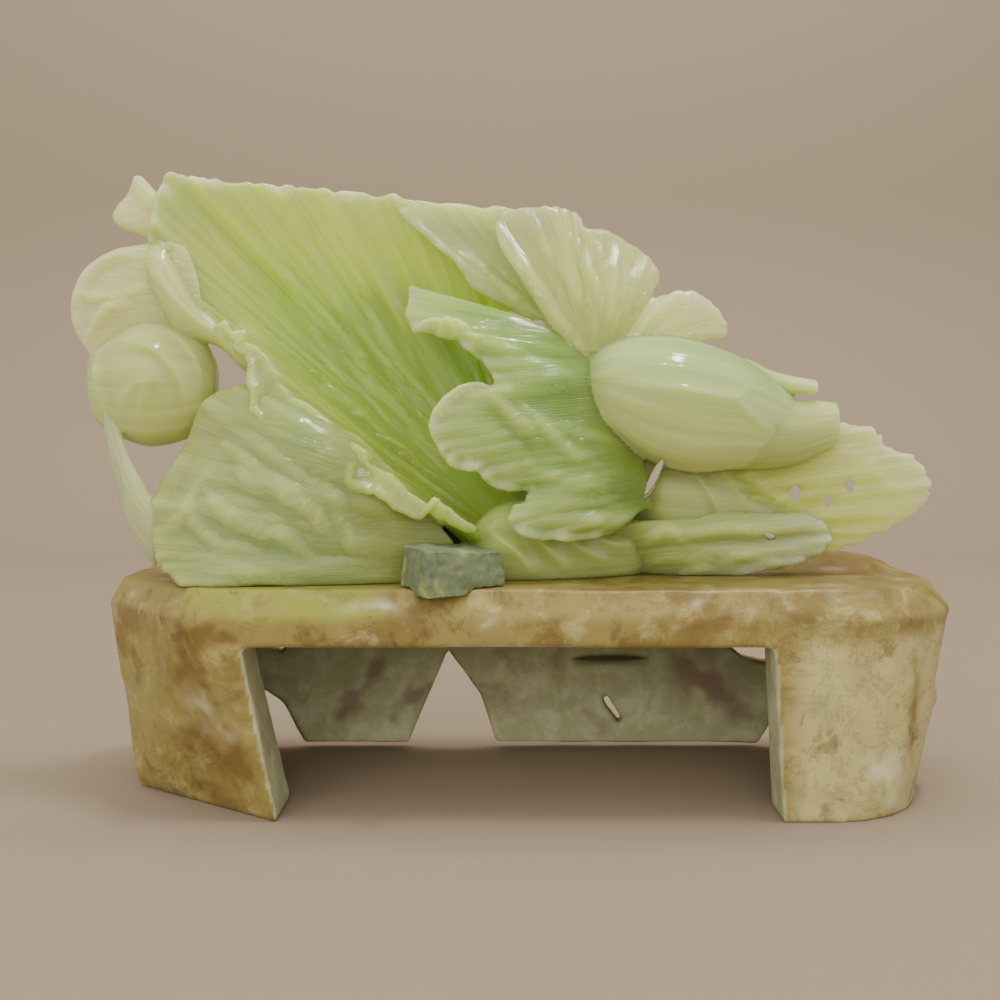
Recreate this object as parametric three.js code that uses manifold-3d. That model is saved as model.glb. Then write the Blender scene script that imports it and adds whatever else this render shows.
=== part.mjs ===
// A cabbage carved from one piece of translucent green jade, lying on a hollowed stand of
// mottled tan stone, with a small rough block set against its foot.
// Millimetres, +Z up, +Y to the back. The finished group has its origin at the middle of the
// footprint, on the surface that the stand's legs stand on.
import * as THREE from "three";
import { mergeVertices } from "three/addons/utils/BufferGeometryUtils.js";
import Module from "manifold-3d";

// Stand, cut from one slab
const standLength = 335;
const standDepth = 120;
const standHeight = 86;
const bevelHeight = 10;
const bevelInset = 6;
const apronHeight = 21;
const legThickness = 23;
const endWall = 20;
const backWall = 10;
const flareLeft = 11;
const flareRight = 12;
const flareBack = 3;
const leftCutTop = [41, 50];
const leftCutFoot = [65, 50];
const frontCorner = [43, 45];
const backCorner = [45, 36];
const leftLegTop = 63;
const leftLegFoot = 76;
const rightLegTop = 76;
const rightLegFoot = 72;
const skirtRise = 4;
const moundSize = [30, 26, 8];
const moundInset = [38, 34];
const knobSize = [7, 13, 9];

// Carving and block
const carvingLength = 344;
const drawnLength = 344;
const carvingOffset = -9.5;
const rootThickness = 9;
const rimThickness = 3;
const viewDistance = 462;
const blockSize = [35, 25, 15];
const blockTurn = 34;
const blockCorner = [-26, -6];
const restGap = 0.3;
const joinTolerance = 0.035;
// The sizes that the outlines below were drawn at: the stand's length and height.
const drawnStand = [335, 86];

const wasm = await Module();
wasm.setup();

const lerp = (a, b, t) => a + (b - a) * t;
const add = (a, b, s = 1) => [a[0] + b[0] * s, a[1] + b[1] * s, a[2] + b[2] * s];
const sub = (a, b) => add(a, b, -1);
const dot = (a, b) => a[0] * b[0] + a[1] * b[1] + a[2] * b[2];
const cross = (a, b) => [a[1] * b[2] - a[2] * b[1], a[2] * b[0] - a[0] * b[2], a[0] * b[1] - a[1] * b[0]];
const unit = (a) => {
  const length = Math.hypot(...a) || 1;
  return [a[0] / length, a[1] / length, a[2] / length];
};

// A closed mesh, as a solid that can be joined and cut.
function solidOf(geometry) {
  const bare = geometry.clone();
  bare.deleteAttribute("normal");
  bare.deleteAttribute("uv");
  const merged = mergeVertices(bare, 1e-4);
  return new wasm.Manifold(
    new wasm.Mesh({
      numProp: 3,
      vertProperties: new Float32Array(merged.attributes.position.array),
      triVerts: new Uint32Array(merged.index.array),
    }),
  );
}

// A geometry from a list of points and a list of triangles.
function geometryOf(points, triangles) {
  const geometry = new THREE.BufferGeometry();
  geometry.setAttribute("position", new THREE.BufferAttribute(new Float32Array(points.flat()), 3));
  geometry.setIndex(triangles.flat());
  return geometry;
}

// A solid from rings of equal length, stacked in order, with a fan closing each end.
function loft(rings) {
  const count = rings[0].length;
  const middle = (ring) => ring.reduce((sum, p) => add(sum, p, 1 / count), [0, 0, 0]);
  const points = [...rings.flat(), middle(rings[0]), middle(rings.at(-1))];
  const first = rings.length * count;
  const triangles = [];
  for (let i = 0; i < count; i++) {
    const next = (i + 1) % count;
    for (let r = 0; r + 1 < rings.length; r++) {
      const low = r * count;
      const high = low + count;
      triangles.push([low + i, low + next, high + next], [low + i, high + next, high + i]);
    }
    const last = (rings.length - 1) * count;
    triangles.push([first, next, i], [first + 1, last + i, last + next]);
  }
  const solid = solidOf(geometryOf(points, triangles));
  if (solid.volume() > 0) return solid;
  return solidOf(geometryOf(points, triangles.map(([a, b, c]) => [a, c, b])));
}

// An egg-shaped swelling of the given half sizes about a point.
function swelling(halves, centre) {
  const ball = new THREE.SphereGeometry(1, 14, 8);
  ball.rotateX(Math.PI / 2);
  ball.scale(...halves);
  ball.translate(...centre);
  return solidOf(ball);
}

// A flat outline in X and Z, pushed through from one depth to another.
function throughCut(outline, front, back) {
  const shape = new THREE.Shape(outline.map(([x, z]) => new THREE.Vector2(x, z)));
  const geometry = new THREE.ExtrudeGeometry(shape, { depth: back - front, bevelEnabled: false });
  geometry.rotateX(Math.PI / 2);
  geometry.translate(0, back, 0);
  return solidOf(geometry);
}

// The stand's outline at one level, seen from above: a straight cut at the front left, rounded
// elsewhere. share runs from 0 at the feet to 1 at the shoulder; inset is how far it stands in.
function standOutline(share, z, inset) {
  const [side, front, back] = [inset.side, inset.front, inset.back];
  const left = -standLength / 2 + lerp(flareLeft, 0, share) + side;
  const right = standLength / 2 - lerp(flareRight, 0, share) - side;
  const rear = standDepth - lerp(flareBack, 0, share) - back;
  const cut = [lerp(leftCutFoot[0], leftCutTop[0], share), lerp(leftCutFoot[1], leftCutTop[1], share)];
  const ring = [
    [left, cut[1], z],
    [left + cut[0], front, z],
  ];
  const steps = 5;
  const corner = (x, y, run, turn) => {
    for (let i = 0; i <= steps; i++) {
      const angle = turn + (i / steps) * (Math.PI / 2);
      ring.push([x + Math.cos(angle) * run[0], y + Math.sin(angle) * run[1], z]);
    }
  };
  corner(right - frontCorner[0], front + frontCorner[1], frontCorner, -Math.PI / 2);
  corner(right - backCorner[0], rear - backCorner[1], backCorner, 0);
  corner(left + backCorner[0], rear - backCorner[1], backCorner, Math.PI / 2);
  return ring;
}

// The cuts that pierce the back wall, seen from the front: outlines of X from the middle and Z
// from the feet, drawn on the stand at its drawn size.
const skirtCuts = [
  [[-53, -1], [-33, 46], [-18, 26], [-10, -1]],
  [[-121, -1], [-118, 30], [-108, 22], [-95, -1]],
  [[104, -1], [112, 14], [124, 20], [139, -1]],
  [[34, 31], [38, 27], [48, 11], [44, 12], [38, 20]],
  [[94, 47], [100, 42], [110, 40], [120, 42], [132, 50], [132, 58], [92, 58]],
  [[-114, 46], [-108, 44], [-105, 50], [-106, 58], [-114, 58]],
];
const skirtEnds = [-110, 128];
const groove = { span: [24, 58], z: [39, 42.5], depth: 3 };

function makeStand() {
  const none = { side: 0, front: 0, back: 0 };
  const bevel = { side: bevelInset, front: bevelInset, back: bevelInset };
  const wall = { side: endWall, front: legThickness, back: backWall };
  const shoulder = standHeight - bevelHeight;
  const ceiling = standHeight - apronHeight;
  const share = ceiling / shoulder;
  const left = -standLength / 2;
  const right = standLength / 2;
  const wide = standLength / drawnStand[0];
  const tall = standHeight / drawnStand[1];
  let stand = loft([standOutline(0, 0, none), standOutline(1, shoulder, none), standOutline(1, standHeight, bevel)]);
  stand = stand.add(swelling(moundSize, [right - moundInset[0], standDepth - moundInset[1], standHeight - 1]));
  stand = stand.add(swelling(knobSize, [right - 8, 50, 39 * tall]));
  stand = stand.subtract(loft([standOutline(0, -1, wall), standOutline(share, ceiling, wall)]));
  const doorway = [
    [left + leftLegFoot, -1],
    [right - rightLegFoot, -1],
    [right - rightLegTop, ceiling],
    [left + leftLegTop, ceiling],
  ];
  stand = stand.subtract(throughCut(doorway, -1, legThickness + 8));
  for (const cut of skirtCuts) {
    const outline = cut.map(([x, z]) => [x * wide, z * tall]);
    stand = stand.subtract(throughCut(outline, standDepth - backWall - 20, standDepth + 1));
  }
  const [from, to] = skirtEnds.map((x) => x * wide);
  const lift = [[from, -1], [to, -1], [to, skirtRise], [from, skirtRise]];
  stand = stand.subtract(throughCut(lift, standDepth - backWall - 20, standDepth + 1));
  const [low, high] = groove.z.map((z) => z * tall);
  const [near, far] = groove.span.map((x) => x * wide);
  const skirtFace = standDepth - backWall;
  const slot = [[near, low], [far, low], [far, high], [near, high]];
  return stand.subtract(throughCut(slot, skirtFace - 20, skirtFace - flareBack / 2 + groove.depth));
}

// The rough block: a box turned on the stand's front edge, its top a little narrower.
function makeBlock(stand) {
  const [length, width, height] = blockSize;
  const turn = (blockTurn * Math.PI) / 180;
  const place = (u, v, z) => [
    blockCorner[0] + carvingOffset + u * Math.cos(turn) - v * Math.sin(turn),
    blockCorner[1] + u * Math.sin(turn) + v * Math.cos(turn),
    z,
  ];
  const low = standHeight - 2;
  const high = standHeight + restGap + height;
  const rings = [
    [place(0, 0, low), place(length, 1, low), place(length - 1, width, low), place(1, width - 2, low)],
    [place(1, 3, high), place(length, 2, high - 2), place(length - 2, width - 1, high), place(2, width - 3, high + 1)],
  ];
  return loft(rings).subtract(stand.translate([0, 0, restGap]));
}

// Point at share t of the smooth curve through the given points (uniform Catmull-Rom).
function along(points, t) {
  const last = points.length - 1;
  if (last === 0) return points[0];
  const place = Math.min(Math.max(t, 0), 1) * last;
  const i = Math.min(Math.floor(place), last - 1);
  const f = place - i;
  const p1 = points[i];
  const p2 = points[i + 1];
  const p0 = i > 0 ? points[i - 1] : p1.map((c, k) => 2 * c - p2[k]);
  const p3 = i + 2 <= last ? points[i + 2] : p2.map((c, k) => 2 * c - p1[k]);
  return p1.map(
    (_, k) =>
      0.5 *
      (2 * p1[k] +
        (p2[k] - p0[k]) * f +
        (2 * p0[k] - 5 * p1[k] + 4 * p2[k] - p3[k]) * f * f +
        (3 * p1[k] - p0[k] - 3 * p2[k] + p3[k]) * f * f * f),
  );
}

// The same for a list of plain numbers.
const blend = (values, t) => along(values.map((value) => [value]), t)[0];

// A leaf is a sheet from its root curve to its rim curve. Across the leaf u runs from 0 to 1,
// and v from root to rim. Each line of constant u is a bow whose middle stands off by belly,
// with ribs and ruffles added along the facing direction and the rim rolled over as an arc.
function leafSheet(leaf, columns) {
  const rows = leaf.rows ?? 5;
  const rollRows = leaf.roll ? 2 : 0;
  const facing = unit(leaf.facing ?? [0, -1, 0]);
  const sheet = [];
  const rootMiddle = along(leaf.root, 0.5);
  for (let i = 0; i <= columns; i++) {
    const u = i / columns;
    const root = along(leaf.root, u);
    const rim = along(leaf.rim, u);
    const side = Math.abs(2 * u - 1);
    const bow = 1 - (leaf.sideFlat ?? 0.6) * side ** 3;
    const middle = add(
      root.map((c, k) => lerp(c, rim[k], leaf.bend ?? 0.5)),
      leaf.belly,
      2 * bow,
    );
    const wave = leaf.ruffle ? leaf.ruffle[0] * Math.sin(2 * Math.PI * (leaf.ruffle[1] * u + (leaf.ruffle[2] ?? 0))) : 0;
    const ribbed = leaf.ribs ? leaf.ribs[0] * (Math.abs(Math.sin(Math.PI * leaf.ribs[1] * u)) - 0.5) : 0;
    const column = [];
    for (let j = 0; j <= rows; j++) {
      const v = j / rows;
      const p = root.map((c, k) => (1 - v) ** 2 * c + 2 * v * (1 - v) * middle[k] + v * v * rim[k]);
      column.push(add(p, facing, wave * v ** 3 + ribbed * Math.min(2 * v, 1) * lerp(1, leaf.rimShare ?? 0.3, v * v)));
    }
    if (rollRows) {
      const along1 = sub(along(leaf.rim, Math.min(u + 0.01, 1)), along(leaf.rim, Math.max(u - 0.01, 0)));
      let outward = unit(cross(along1, facing));
      if (dot(outward, sub(rim, rootMiddle)) < 0) outward = outward.map((c) => -c);
      const turn = (blend(leaf.roll.degrees, u) * Math.PI) / 180;
      const radius = blend(leaf.roll.radius, u);
      const edge = column.at(-1);
      for (let j = 1; j <= rollRows; j++) {
        const a = (Math.abs(turn) * j) / rollRows;
        const rise = radius * (1 - Math.cos(a)) * Math.sign(turn || 1);
        column.push(add(add(edge, outward, radius * Math.sin(a)), facing, rise));
      }
    }
    sheet.push(column);
  }
  return sheet;
}

// Wraps a sheet in stone: a front and a back skin half the thickness off it, closed all round.
function leafSolid(leaf) {
  const columns = leaf.columns ?? 16;
  const sheet = leafSheet(leaf, columns);
  const rows = sheet[0].length - 1;
  const thick = leaf.thick ?? [rootThickness, rimThickness];
  const at = (i, j) => sheet[Math.min(Math.max(i, 0), columns)][Math.min(Math.max(j, 0), rows)];
  const points = [];
  const front = (i, j) => i * (rows + 1) + j;
  const back = (i, j) => (columns + 1) * (rows + 1) + front(i, j);
  const skins = [1, -1].map((sign) =>
    sheet.map((column, i) =>
      column.map((p, j) => {
        const normal = unit(cross(sub(at(i + 1, j), at(i - 1, j)), sub(at(i, j + 1), at(i, j - 1))));
        const half = lerp(thick[0], thick[1], Math.min(j / (leaf.rows ?? 5), 1) ** 0.7) / 2;
        const edge = i === 0 || i === columns || j === rows ? 0.6 : 1;
        return add(p, normal, sign * half * edge);
      }),
    ),
  );
  points.push(...skins[0].flat(), ...skins[1].flat());
  const triangles = [];
  const quad = (a, b, c, d) => triangles.push([a, b, c], [a, c, d]);
  for (let i = 0; i < columns; i++) {
    for (let j = 0; j < rows; j++) {
      quad(front(i, j), front(i + 1, j), front(i + 1, j + 1), front(i, j + 1));
      quad(back(i, j), back(i, j + 1), back(i + 1, j + 1), back(i + 1, j));
    }
    quad(front(i + 1, 0), front(i, 0), back(i, 0), back(i + 1, 0));
    quad(front(i, rows), front(i + 1, rows), back(i + 1, rows), back(i, rows));
  }
  for (let j = 0; j < rows; j++) {
    quad(front(0, j), front(0, j + 1), back(0, j + 1), back(0, j));
    quad(front(columns, j + 1), front(columns, j), back(columns, j), back(columns, j + 1));
  }
  const solid = solidOf(geometryOf(points, triangles));
  if (solid.volume() > 0) return solid;
  return solidOf(geometryOf(points, triangles.map(([a, b, c]) => [a, c, b])));
}

// A smooth lump: oval rings along a line of stations [x, y, z, depth radius, height radius].
function lump(stations, around, lengthwise) {
  const rings = [];
  for (let i = 0; i <= lengthwise; i++) {
    const [x, y, z, deep, tall] = along(stations, i / lengthwise);
    const ring = [];
    for (let k = 0; k < around; k++) {
      const a = (k / around) * 2 * Math.PI;
      ring.push([x, y + Math.cos(a) * Math.max(deep, 1), z + Math.sin(a) * Math.max(tall, 1)]);
    }
    rings.push(ring);
  }
  return loft(rings);
}

// The leaves, as drawn on the 344 mm carving. X is along the carving, Y is back from the
// stand's front edge and Z is up from the stand's top.
const leaves = {
  scoop: {
    root: [[-6, 46, 12], [8, 58, 8], [14, 60, 22]],
    rim: [
      [-9, 22, 21], [-23, 20, 27], [-37, 20, 36], [-50, 22, 46], [-58, 24, 54], [-68, 27, 62], [-78, 30, 70],
      [-88, 33, 79], [-95, 37, 88], [-103, 40, 95], [-111, 43, 100], [-118, 46, 109], [-124, 48, 118],
      [-131, 50, 128], [-137, 52, 137], [-138, 58, 151], [-136, 62, 163], [-122, 64, 161],
      [-103, 66, 160], [-78, 66, 158], [-45, 68, 154], [-25, 70, 151], [-4, 70, 148], [2, 66, 124],
    ],
    belly: [0, 18, -2],
    sideFlat: 0.2,
    ribs: [2.5, 11],
    roll: {
      degrees: [50, 60, 60, 65, 75, 80, 75, 62, 70, 70, 70, 70, 60, 60, 50, 20, 10, 10, 10, 10, 10, 10, 5, 5],
      radius: [2, 5, 8, 8, 3, 3.5, 9, 14, 4.5, 3, 3, 3, 3, 3, 3, 3, 3, 3, 3, 3, 3, 3, 3, 3],
    },
    columns: 34,
    rows: 4,
    thick: [14, 3.5],
  },
  lowerLeft: {
    root: [[-62, 32, 52], [-42, 30, 34], [-22, 36, 16], [-16, 42, 2]],
    rim: [
      [-90, 38, 68], [-103, 42, 74], [-116, 44, 68], [-123, 42, 52], [-131, 38, 39], [-135, 34, 28], [-134, 30, 17],
      [-130, 24, 7], [-120, 16, -2],
    ],
    belly: [0, -13, 0],
    ribs: [4, 4],
    columns: 16,
    rows: 4,
    thick: [18, 8],
  },
  ruffled: {
    root: [[26, 47, 96], [38, 43, 76], [52, 44, 46], [56, 46, 26]],
    rim: [
      [-36, 58, 117], [-35, 44, 101], [-23, 37, 96], [-14, 34, 95], [-5, 32, 86], [-2, 28, 76], [-12, 27, 72],
      [-22, 25, 63], [-21, 24, 54], [-15, 24, 49], [-7, 24, 48], [0, 25, 40], [13, 27, 38], [12, 25, 33],
      [6, 23, 28], [9, 22, 23], [27, 25, 21], [45, 32, 20],
    ],
    belly: [0, -8, 0],
    sideFlat: 0.3,
    columns: 28,
    rows: 4,
    roll: { degrees: [10, 30, 70, 60, 40, 20, 60, 50, 40, 60, 70, 60, 50, 40, 40, 60, 60, 30], radius: [3, 4, 5, 4, 3, 3, 4, 4, 4] },
    thick: [12, 3],
  },
  inner: {
    root: [[29, 52, 94], [33, 49, 91], [36, 49, 88]],
    rim: [[-13, 60, 117], [-19, 61, 129], [-31, 64, 140], [-42, 67, 150], [-25, 68, 152], [0, 66, 150], [22, 63, 148]],
    belly: [0, 5, 0],
    columns: 10,
    rows: 4,
    thick: [8, 4],
  },
  fan: {
    root: [[31, 44, 86], [37, 42, 90], [45, 44, 91]],
    rim: [
      [6, 54, 125], [-1, 57, 137], [0, 60, 146], [18, 61, 149], [30, 61, 147], [34, 55, 140], [43, 59, 139],
      [57, 59, 131], [63, 57, 124], [62, 54, 117], [52, 50, 110],
    ],
    belly: [0, -5, 0],
    ribs: [3.5, 5],
    rimShare: 0.8,
    columns: 18,
    rows: 4,
    ruffle: [2, 4],
  },
  smallFan: {
    root: [[44, 45, 86], [52, 45, 88]],
    rim: [[48, 50, 103], [56, 50, 109], [76, 49, 114], [83, 50, 109], [91, 52, 102], [90, 52, 96], [76, 50, 98], [62, 47, 90]],
    belly: [0, -3, 2],
    ribs: [2, 3],
    rimShare: 0.8,
    columns: 9,
    rows: 3,
  },
  endLeaf: {
    root: [[66, 56, 44], [68, 60, 26], [66, 66, 6]],
    rim: [
      [132, 56, 60], [150, 58, 59], [162, 58, 51], [173, 60, 44], [176, 60, 34], [168, 60, 23], [152, 60, 15],
      [134, 60, 9], [118, 62, 3],
    ],
    belly: [0, -7, 0],
    ribs: [3, 5],
    columns: 16,
    rows: 4,
    thick: [8, 3],
  },
  lowLeaf: {
    root: [[44, 46, 22], [48, 56, 8], [52, 64, 0]],
    rim: [[118, 50, 24], [130, 50, 22], [133, 50, 13], [121, 50, 6], [96, 50, 1]],
    belly: [0, -5, 0],
    ribs: [2, 3],
    columns: 12,
    rows: 5,
    thick: [8, 3],
  },
  curl: {
    root: [[-127, 54, 131], [-120, 50, 114], [-121, 47, 100]],
    rim: [
      [-135, 56, 133], [-146, 54, 132], [-156, 52, 129], [-165, 50, 123], [-169, 48, 114], [-170, 46, 105],
      [-167, 46, 95], [-162, 46, 88],
    ],
    belly: [0, -3, 0],
    columns: 12,
    rows: 4,
    thick: [8, 3],
  },
  tip: {
    root: [[-136, 60, 133], [-134, 60, 150]],
    rim: [[-146, 64, 139], [-152, 68, 142], [-158, 70, 146], [-156, 72, 154], [-151, 73, 163], [-143, 70, 152]],
    belly: [0, -2, 0],
    columns: 8,
    rows: 3,
    thick: [7, 4],
  },
  backLeft: {
    root: [[20, 94, 22], [30, 90, 8], [30, 84, -4]],
    rim: [
      [-30, 82, 124], [-58, 82, 120], [-82, 80, 102], [-94, 78, 80], [-108, 76, 56], [-128, 76, 36],
      [-130, 86, 16], [-120, 90, 2], [-94, 92, -4],
    ],
    belly: [0, 16, 0],
    facing: [0, 1, 0],
    ribs: [3, 5],
    columns: 15,
    rows: 4,
    thick: [10, 4],
  },
  backRight: {
    root: [[-34, 92, 8], [-24, 96, 24], [-22, 90, 44]],
    rim: [[60, 88, -2], [86, 84, 10], [98, 78, 30], [96, 74, 54], [78, 72, 78], [50, 72, 90], [18, 80, 90]],
    belly: [0, 14, 0],
    facing: [0, 1, 0],
    ribs: [3, 4],
    columns: 12,
    rows: 4,
    thick: [10, 4],
  },
};

// Smooth swellings, each a list of stations: the stone behind the leaves, the foot, the swollen
// stalk with its two broken ends, the folds under it, and at the left end the scoop's turned-over
// shoulder, the curled leaf below it and the strip that ties it to the lower leaf.
const swellings = {
  heart: {
    stations: [
      [-136, 56, 20, 4, 6], [-126, 58, 22, 19, 27], [-104, 62, 26, 27, 38], [-84, 66, 25, 33, 36],
      [-70, 68, 21, 35, 31], [-58, 70, 16, 36, 24], [-46, 73, 12, 31, 20], [-34, 78, 10, 27, 20],
      [-10, 82, 12, 22, 22], [20, 82, 14, 24, 24], [52, 81, 12, 23, 19], [84, 80, 4, 16, 10], [104, 78, 0, 4, 4],
    ],
    around: 14,
    lengthwise: 11,
  },
  backCore: {
    stations: [
      [-98, 82, 44, 4, 8], [-82, 86, 46, 6, 30], [-40, 91, 54, 7, 42], [0, 91, 56, 7, 40],
      [24, 90, 56, 6, 28], [36, 88, 56, 2, 8],
    ],
    around: 8,
    lengthwise: 6,
  },
  middleCore: {
    stations: [[6, 66, 50, 4, 12], [22, 68, 52, 17, 32], [44, 68, 54, 19.5, 34], [60, 66, 50, 17, 28], [74, 64, 44, 6, 12]],
    around: 10,
    lengthwise: 4,
  },
  endCore: {
    stations: [
      [52, 62, 30, 5, 10], [67, 60, 30, 13, 20], [86, 58, 28, 12, 20], [104, 58, 23, 9, 15],
      [122, 58, 17, 6, 9], [134, 58, 14, 3, 4],
    ],
    around: 10,
    lengthwise: 5,
  },
  foot: {
    stations: [[-16, 48, 8, 4, 6], [0, 48, 10, 17, 19], [28, 54, 11, 20, 19], [52, 58, 10, 12, 14], [62, 60, 8, 3, 5]],
    around: 10,
    lengthwise: 4,
  },
  bulb: {
    stations: [
      [33, 44, 78, 3, 4], [37, 43, 77, 12, 12], [46, 42, 75, 21, 19], [60, 42, 71, 26, 25], [76, 42, 68, 27, 26],
      [92, 43, 66, 24, 23], [104, 45, 63, 19, 19], [116, 47, 60, 11, 13], [122, 48, 60, 3, 4],
    ],
    around: 16,
    lengthwise: 9,
  },
  upperEnd: {
    stations: [
      [84, 44, 79, 12, 12], [98, 45, 79.5, 9, 7.5], [107, 46, 78.4, 7, 4.4], [116, 47, 76.8, 6, 3.6],
      [126, 47, 75.7, 5.5, 3],
    ],
    around: 10,
    lengthwise: 4,
  },
  lowerEnd: {
    stations: [[92, 44, 62, 22, 19], [106, 46, 58.5, 18, 15.5], [118, 47, 58, 13, 13], [128, 48, 60, 9, 10.5], [135, 49, 61, 7, 8.5]],
    around: 10,
    lengthwise: 4,
  },
  shoulder: {
    stations: [
      [-146, 56, 120, 5, 9], [-141, 55, 119, 9, 14], [-135, 53, 116, 11, 17], [-128, 51, 108, 11, 15],
      [-120, 48, 101.5, 8, 7.5], [-111, 46, 96, 6, 5], [-102, 43, 88, 5, 5.4], [-97, 41, 84, 2, 3],
    ],
    around: 8,
    lengthwise: 7,
  },
  ball: {
    stations: [[-166, 52, 78, 4, 8], [-160, 51, 78, 12, 18], [-141, 49, 78, 18, 26], [-122, 51, 78, 13, 21], [-114, 52, 77, 5, 9]],
    around: 12,
    lengthwise: 7,
  },
  strip: {
    stations: [[-156, 46, 64, 5, 10], [-151, 42, 46, 5, 10], [-145, 36, 34, 5, 10], [-134, 31, 18, 6, 10]],
    around: 6,
    lengthwise: 4,
  },
};

// Openings through the carving: middle in X and Z at 50 mm depth, width, height and lean in degrees.
const openings = [
  [62, 39, 3.5, 18, 24], [119, 33, 4, 7, 0], [132, 30, 3, 5, -10], [141, 36, 3.5, 6, -15], [109, 16, 5, 3, 20],
];

// A narrow oval hole that runs back along the line of sight, so that daylight shows through it.
function opening([x, z, width, height, lean]) {
  const angle = (lean * Math.PI) / 180;
  const rings = [0, 130].map((y) => {
    const spread = (viewDistance + y) / (viewDistance + 50);
    const ring = [];
    for (let k = 0; k < 8; k++) {
      const turn = (k / 8) * 2 * Math.PI;
      const across = (Math.cos(turn) * width) / 2;
      const up = (Math.sin(turn) * height) / 2;
      const px = x + across * Math.cos(angle) + up * Math.sin(angle);
      ring.push([px * spread, y, z - across * Math.sin(angle) + up * Math.cos(angle)]);
    }
    return ring;
  });
  return loft(rings);
}

function makeCarving(stand, block) {
  const size = carvingLength / drawnLength;
  let carving = null;
  const parts = Object.values(swellings).map((part) => lump(part.stations, part.around, part.lengthwise));
  for (const leaf of Object.values(leaves)) parts.push(leafSolid(leaf));
  for (const part of parts) carving = carving ? carving.add(part) : part;
  for (const hole of openings) carving = carving.subtract(opening(hole));
  carving = carving.scale(size).translate([carvingOffset, 0, standHeight + restGap]);
  const level = standHeight + restGap;
  const below = [[-standLength, 0], [standLength, 0], [standLength, level], [-standLength, level]];
  carving = carving.subtract(throughCut(below, -standDepth, 2 * standDepth));
  carving = carving.subtract(stand.translate([0, 0, restGap]));
  carving = carving.subtract(block.translate([0, restGap, 0])).subtract(block.translate([0, 0, restGap]));
  // Keep the outer skin only: edges shorter than the join tolerance close up, a pocket sealed in
  // by the leaves is solid stone, and a sliver that hangs on by one point is broken off.
  const skin = solidOf(surfaceOf(carving)).setTolerance(joinTolerance);
  return skin.decompose().sort((a, b) => b.volume() - a.volume())[0];
}

// The surface of a solid, as a geometry.
function surfaceOf(solid) {
  const mesh = solid.getMesh();
  const geometry = new THREE.BufferGeometry();
  geometry.setAttribute("position", new THREE.BufferAttribute(new Float32Array(mesh.vertProperties), 3));
  geometry.setIndex(new THREE.BufferAttribute(new Uint32Array(mesh.triVerts), 1));
  return geometry;
}

function meshOf(name, solid, colour, roughness) {
  const geometry = surfaceOf(solid);
  geometry.computeVertexNormals();
  const made = new THREE.Mesh(geometry, new THREE.MeshStandardMaterial({ color: colour, roughness, metalness: 0 }));
  made.name = name;
  return made;
}

const standSolid = makeStand();
const blockSolid = makeBlock(standSolid);
const carvingSolid = makeCarving(standSolid, blockSolid);
const group = new THREE.Group();
group.add(meshOf("stand", standSolid, 0xb39a5c, 0.45));
group.add(meshOf("rough_block", blockSolid, 0x7d8668, 0.8));
group.add(meshOf("cabbage_carving", carvingSolid, 0xa9b873, 0.2));

const box = new THREE.Box3().setFromObject(group);
group.position.set(-(box.min.x + box.max.x) / 2, -(box.min.y + box.max.y) / 2, -box.min.z);

export default group;
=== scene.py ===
# A cabbage carved from one piece of translucent green jade, on a stand cut from a slab of
# mottled tan stone, with a small rough block resting on the stand's front edge.
import math
import bpy
import numpy as np
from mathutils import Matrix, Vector


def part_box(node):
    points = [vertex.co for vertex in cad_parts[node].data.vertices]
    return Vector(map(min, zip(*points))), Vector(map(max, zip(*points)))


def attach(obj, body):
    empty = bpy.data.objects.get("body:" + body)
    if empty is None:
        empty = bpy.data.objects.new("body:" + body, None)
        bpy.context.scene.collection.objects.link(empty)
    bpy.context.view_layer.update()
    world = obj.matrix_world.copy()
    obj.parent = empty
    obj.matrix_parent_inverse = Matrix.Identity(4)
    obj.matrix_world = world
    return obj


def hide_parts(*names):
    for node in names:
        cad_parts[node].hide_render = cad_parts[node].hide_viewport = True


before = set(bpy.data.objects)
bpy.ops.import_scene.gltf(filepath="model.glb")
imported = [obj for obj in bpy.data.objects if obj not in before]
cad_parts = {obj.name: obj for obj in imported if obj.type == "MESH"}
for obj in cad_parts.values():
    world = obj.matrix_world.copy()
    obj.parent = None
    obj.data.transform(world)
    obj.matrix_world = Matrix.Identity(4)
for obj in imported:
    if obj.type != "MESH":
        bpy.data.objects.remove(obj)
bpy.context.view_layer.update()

# The drawing's own millimetres: X from the stand's middle, Y back from its front face, Z up.
drawing = {
    "standLength": 335.0,
    "standTop": 86.0,
    "restGap": 0.3,         # between the stand's top and the carving
    "carvingX": -9.5,       # where the carving's X 0 lies
    "voxel": 0.85,          # finest form kept when the leaves are joined into one stone
    "triangles": 190000,    # most that the carving's mesh keeps
}
# The photograph's camera: mm in front of the stand's face, mm above the table, how many pixels of
# the frame its middle lies below the horizon, and the focal length in pixels.
view = {"distance": 462.0, "height": 145.0, "drop": 70.0, "focal": 1271.0, "frame": 1000.0}
standLow = np.array(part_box("stand")[0]) * 1000
shift = np.array([standLow[0] + drawing["standLength"] / 2, standLow[1], 0.0])
carvingOrigin = np.array([drawing["carvingX"], 0.0, drawing["standTop"] + drawing["restGap"]])


# Numbers and curves

def colour(code):
    # sRGB hex to linear: c / 12.92 under 0.04045, else ((c + 0.055) / 1.055) ^ 2.4
    parts = np.array([int(code[i:i + 2], 16) / 255 for i in (1, 3, 5)])
    linear = np.where(parts < 0.04045, parts / 12.92, ((parts + 0.055) / 1.055) ** 2.4)
    return (*linear.tolist(), 1.0)


def unit(a):
    return a / np.maximum(np.linalg.norm(a, axis=-1, keepdims=True), 1e-9)


def ease(x, low, high):
    # 3t^2 - 2t^3 with t = (x - low) / (high - low), kept in 0..1
    t = np.clip((x - low) / (high - low), 0, 1)
    return t * t * (3 - 2 * t)


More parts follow.
